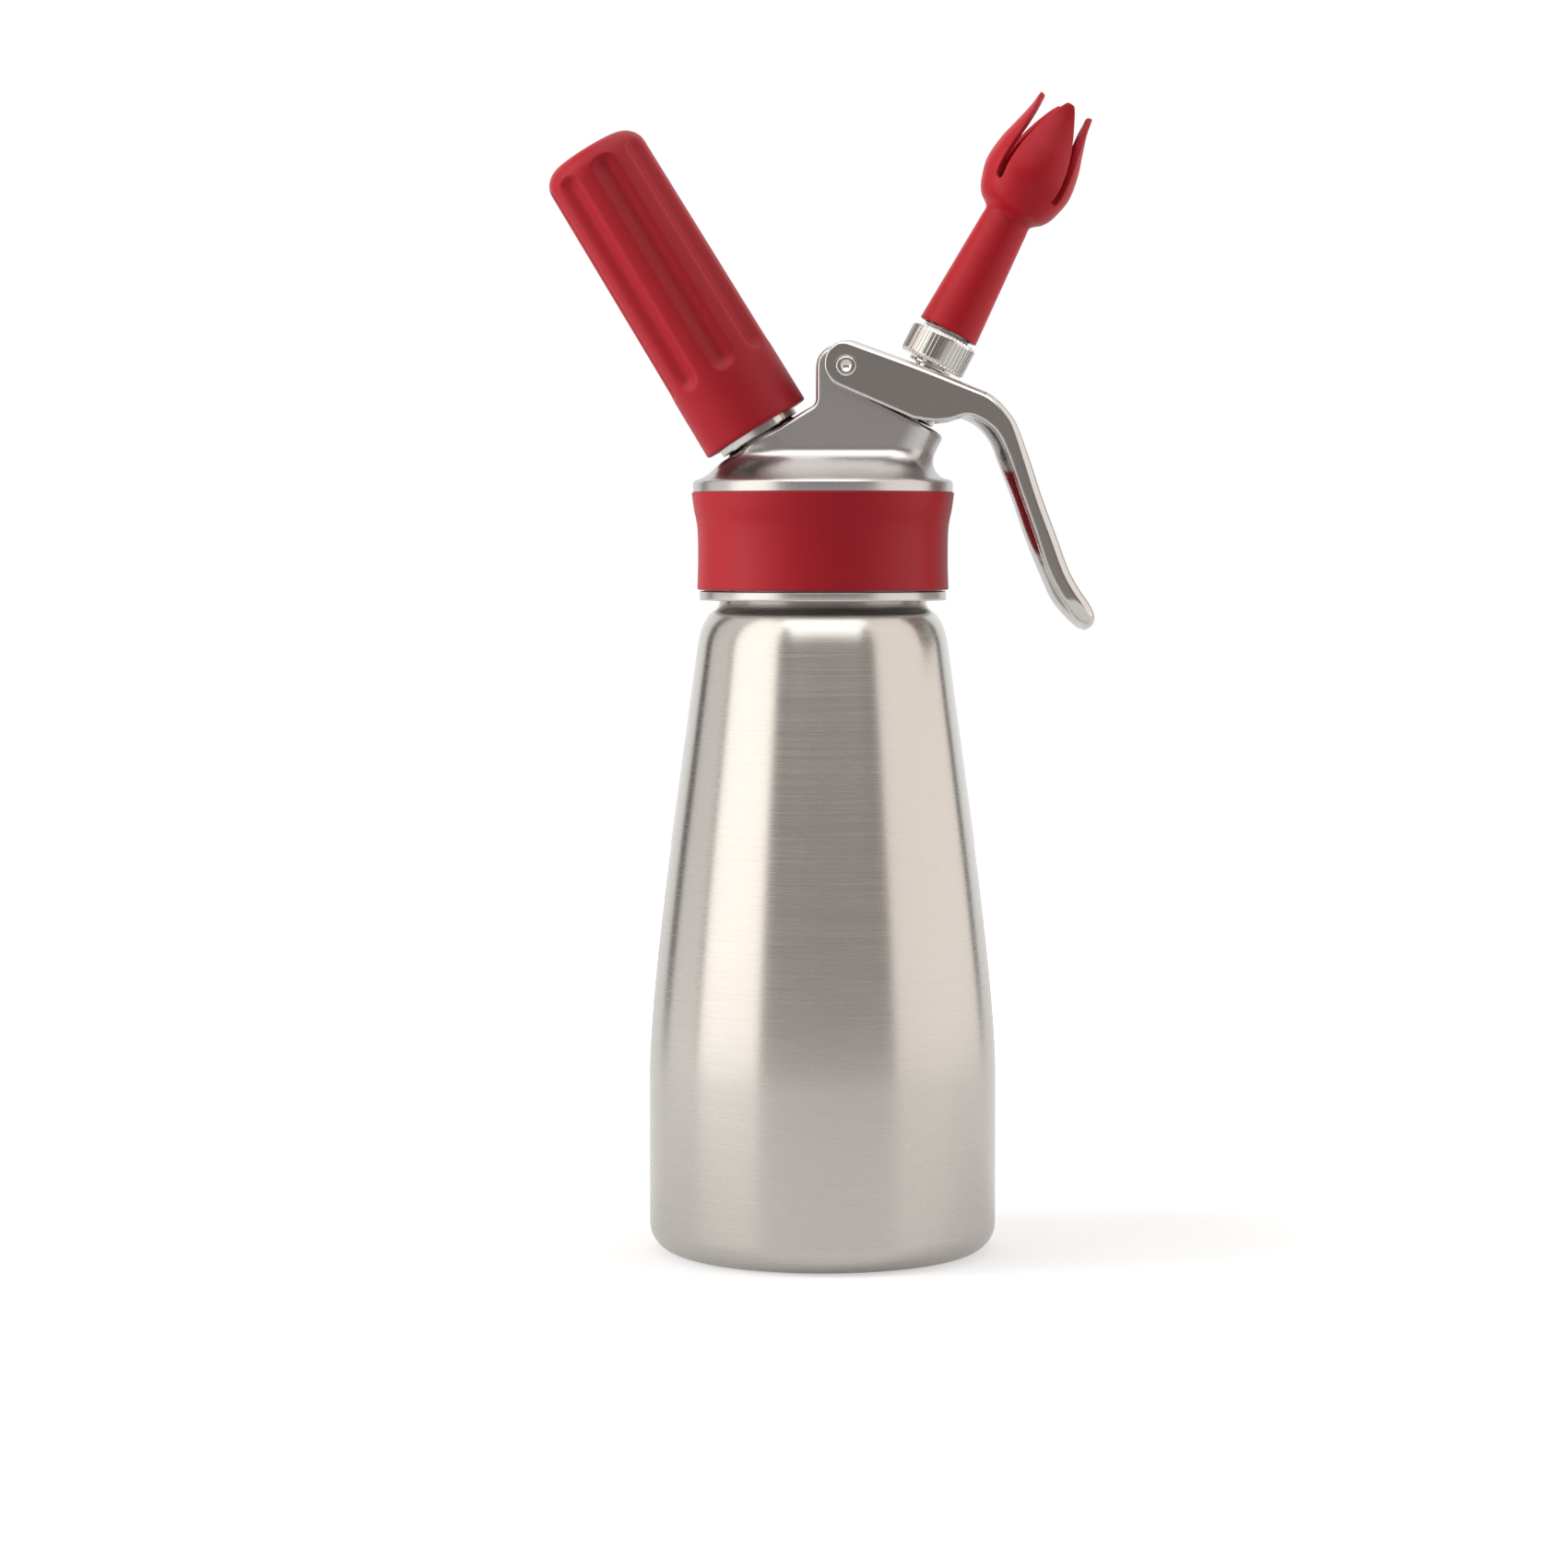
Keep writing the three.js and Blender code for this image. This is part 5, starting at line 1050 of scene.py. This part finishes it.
def make_floor():
    """Pale floor that keeps the object's shadow and runs out to white. Its glow is painted light: the camera
    sees it weaker near the object and full far away. A painted sheen that only reflections see is also weaker
    near the object, which puts painted shade into the steel's reflections of the floor.
    """
    reach = FLOOR_REACH
    corners = [(-reach, -reach, 0), (reach, -reach, 0), (reach, reach, 0), (-reach, reach, 0)]
    floor, tree, shader = panel("floor", corners, FLOOR_SHADE)
    wire(tree, shader, {"Roughness": FLOOR_ROUGH})
    where = node(tree, "ShaderNodeTexCoord").outputs["Object"]
    far = node(tree, "ShaderNodeVectorMath", {0: where}, operation="LENGTH").outputs["Value"]
    # Painted glow for camera rays, weaker near the object
    fade = ramp(tree, far, FLOOR_GLOW, 1, FLOOR_NEAR, FLOOR_FAR)
    # Painted sheen for glossy rays only, darker near the object: a painted reflection with painted shade near
    # the object
    painted_sheen_share = ramp(tree, far, SHEEN_NEAR, SHEEN_FAR, FLOOR_NEAR, 2 * FLOOR_FAR)
    camera, glossy = ray_kinds(tree)
    sheen = node(tree, "ShaderNodeMath", {0: glossy, 1: painted_sheen_share}, operation="MULTIPLY").outputs[0]
    seen = node(tree, "ShaderNodeMath", {0: camera, 1: fade, 2: sheen}, operation="MULTIPLY_ADD").outputs[0]
    glow = node(tree, "ShaderNodeEmission", {"Color": (*WHITE, 1), "Strength": seen})
    both = node(tree, "ShaderNodeAddShader", {0: shader.outputs[0], 1: glow.outputs[0]})
    wire(tree, tree.nodes["Material Output"], {"Surface": both.outputs[0]})


def make_world():
    world = bpy.data.worlds.new("studio")
    bpy.context.scene.world = world
    world.use_nodes = True
    tree = world.node_tree
    tree.nodes.clear()
    white = node(tree, "ShaderNodeBackground", {"Color": (*WHITE, 1), "Strength": 1}).outputs[0]
    room = node(tree, "ShaderNodeBackground", {"Color": (*ROOM_COLOUR, 1), "Strength": ROOM_LIGHT}).outputs[0]
    mix = node(tree, "ShaderNodeMixShader", {0: ray_kinds(tree)[0], 1: room, 2: white})
    node(tree, "ShaderNodeOutputWorld", {"Surface": mix.outputs[0]})


def softbox(name, bearing, spread, distance, tall, level, colour):
    """Upright softbox that spans an angle seen from the object; bearings run from the camera to the left."""
    width = 2 * distance * math.tan(math.radians(spread / 2))
    turn = math.radians(bearing)
    place = (-distance * math.sin(turn), -distance * math.cos(turn), tall / 2 - LAMP_SINK)
    return emitter(name, (width, tall), place, (0, 0, place[2]), level, colour)


def flag(name, bearing, spread):
    """Dark upright strip that only the reflections show."""
    half = FLAG_DISTANCE * math.tan(math.radians(spread / 2))
    corners = [(-half, 0, FLAG_LOW), (half, 0, FLAG_LOW), (half, 0, FLAG_HIGH), (-half, 0, FLAG_HIGH)]
    strip, tree, shader = panel(name, corners, FLAG_SHADE)
    turn = math.radians(bearing)
    strip.location = (-FLAG_DISTANCE * math.sin(turn), -FLAG_DISTANCE * math.cos(turn), 0)
    strip.rotation_euler = (0, 0, -turn)
    strip.visible_camera = strip.visible_diffuse = strip.visible_shadow = False


def make_backdrop():
    """Pale wall behind the object, seen by the camera and by the steel."""
    corners = [(-WALL_HALF, WALL_PLACE, WALL_LOW), (WALL_HALF, WALL_PLACE, WALL_LOW),
               (WALL_HALF, WALL_PLACE, WALL_HIGH), (-WALL_HALF, WALL_PLACE, WALL_HIGH)]
    wall, tree, shader = panel("backdrop", corners, WALL_SHADE)
    camera, glossy = ray_kinds(tree)
    seen = node(tree, "ShaderNodeMath", {0: camera, 1: glossy}, operation="MAXIMUM").outputs[0]
    glow = node(tree, "ShaderNodeEmission", {"Color": (*WHITE, 1), "Strength": 1})
    mix = node(tree, "ShaderNodeMixShader", {0: seen, 1: shader.outputs[0], 2: glow.outputs[0]})
    wire(tree, tree.nodes["Material Output"], {"Surface": mix.outputs[0]})


def make_stage():
    make_floor()
    make_world()
    make_backdrop()
    for name, look in SOFTBOXES.items():
        softbox(name, *look)
    for name, look in FLAGS.items():
        flag(name, *look)
    emitter("top softbox", *TOP_SOFTBOX)
    emitter("front softbox", *FRONT_SOFTBOX).visible_diffuse = False
    emitter("top key", *TOP_KEY).visible_glossy = False
    for name, look in KEYS.items():
        softbox(name, *look).visible_glossy = False


def main():
    make_camera()
    bpy.context.scene.view_settings.view_transform = "Standard"
    steels = [steel_material(name, *look) for name, look in STEELS.items()]
    steel, satin, bright, knurled, spring_steel = steels
    silicone, plastic, pale, pale_ring = [soft_material(name, *look) for name, look in SOFTS.items()]
    make_bottle(steel)
    make_gasket(pale)
    make_head_cup(satin)
    make_head_casting(satin)
    make_head_hidden(satin)
    make_collar(silicone)
    make_lever(bright)
    make_pin(bright)
    make_piston(bright, spring_steel, pale_ring)
    make_spring(spring_steel)
    make_adapter(knurled)
    make_tip_inside(bright, pale_ring)
    make_tip(plastic)
    make_grip(silicone)
    make_holder(bright, bright)
    make_gas_parts(bright, pale_ring)
    make_stage()


main()
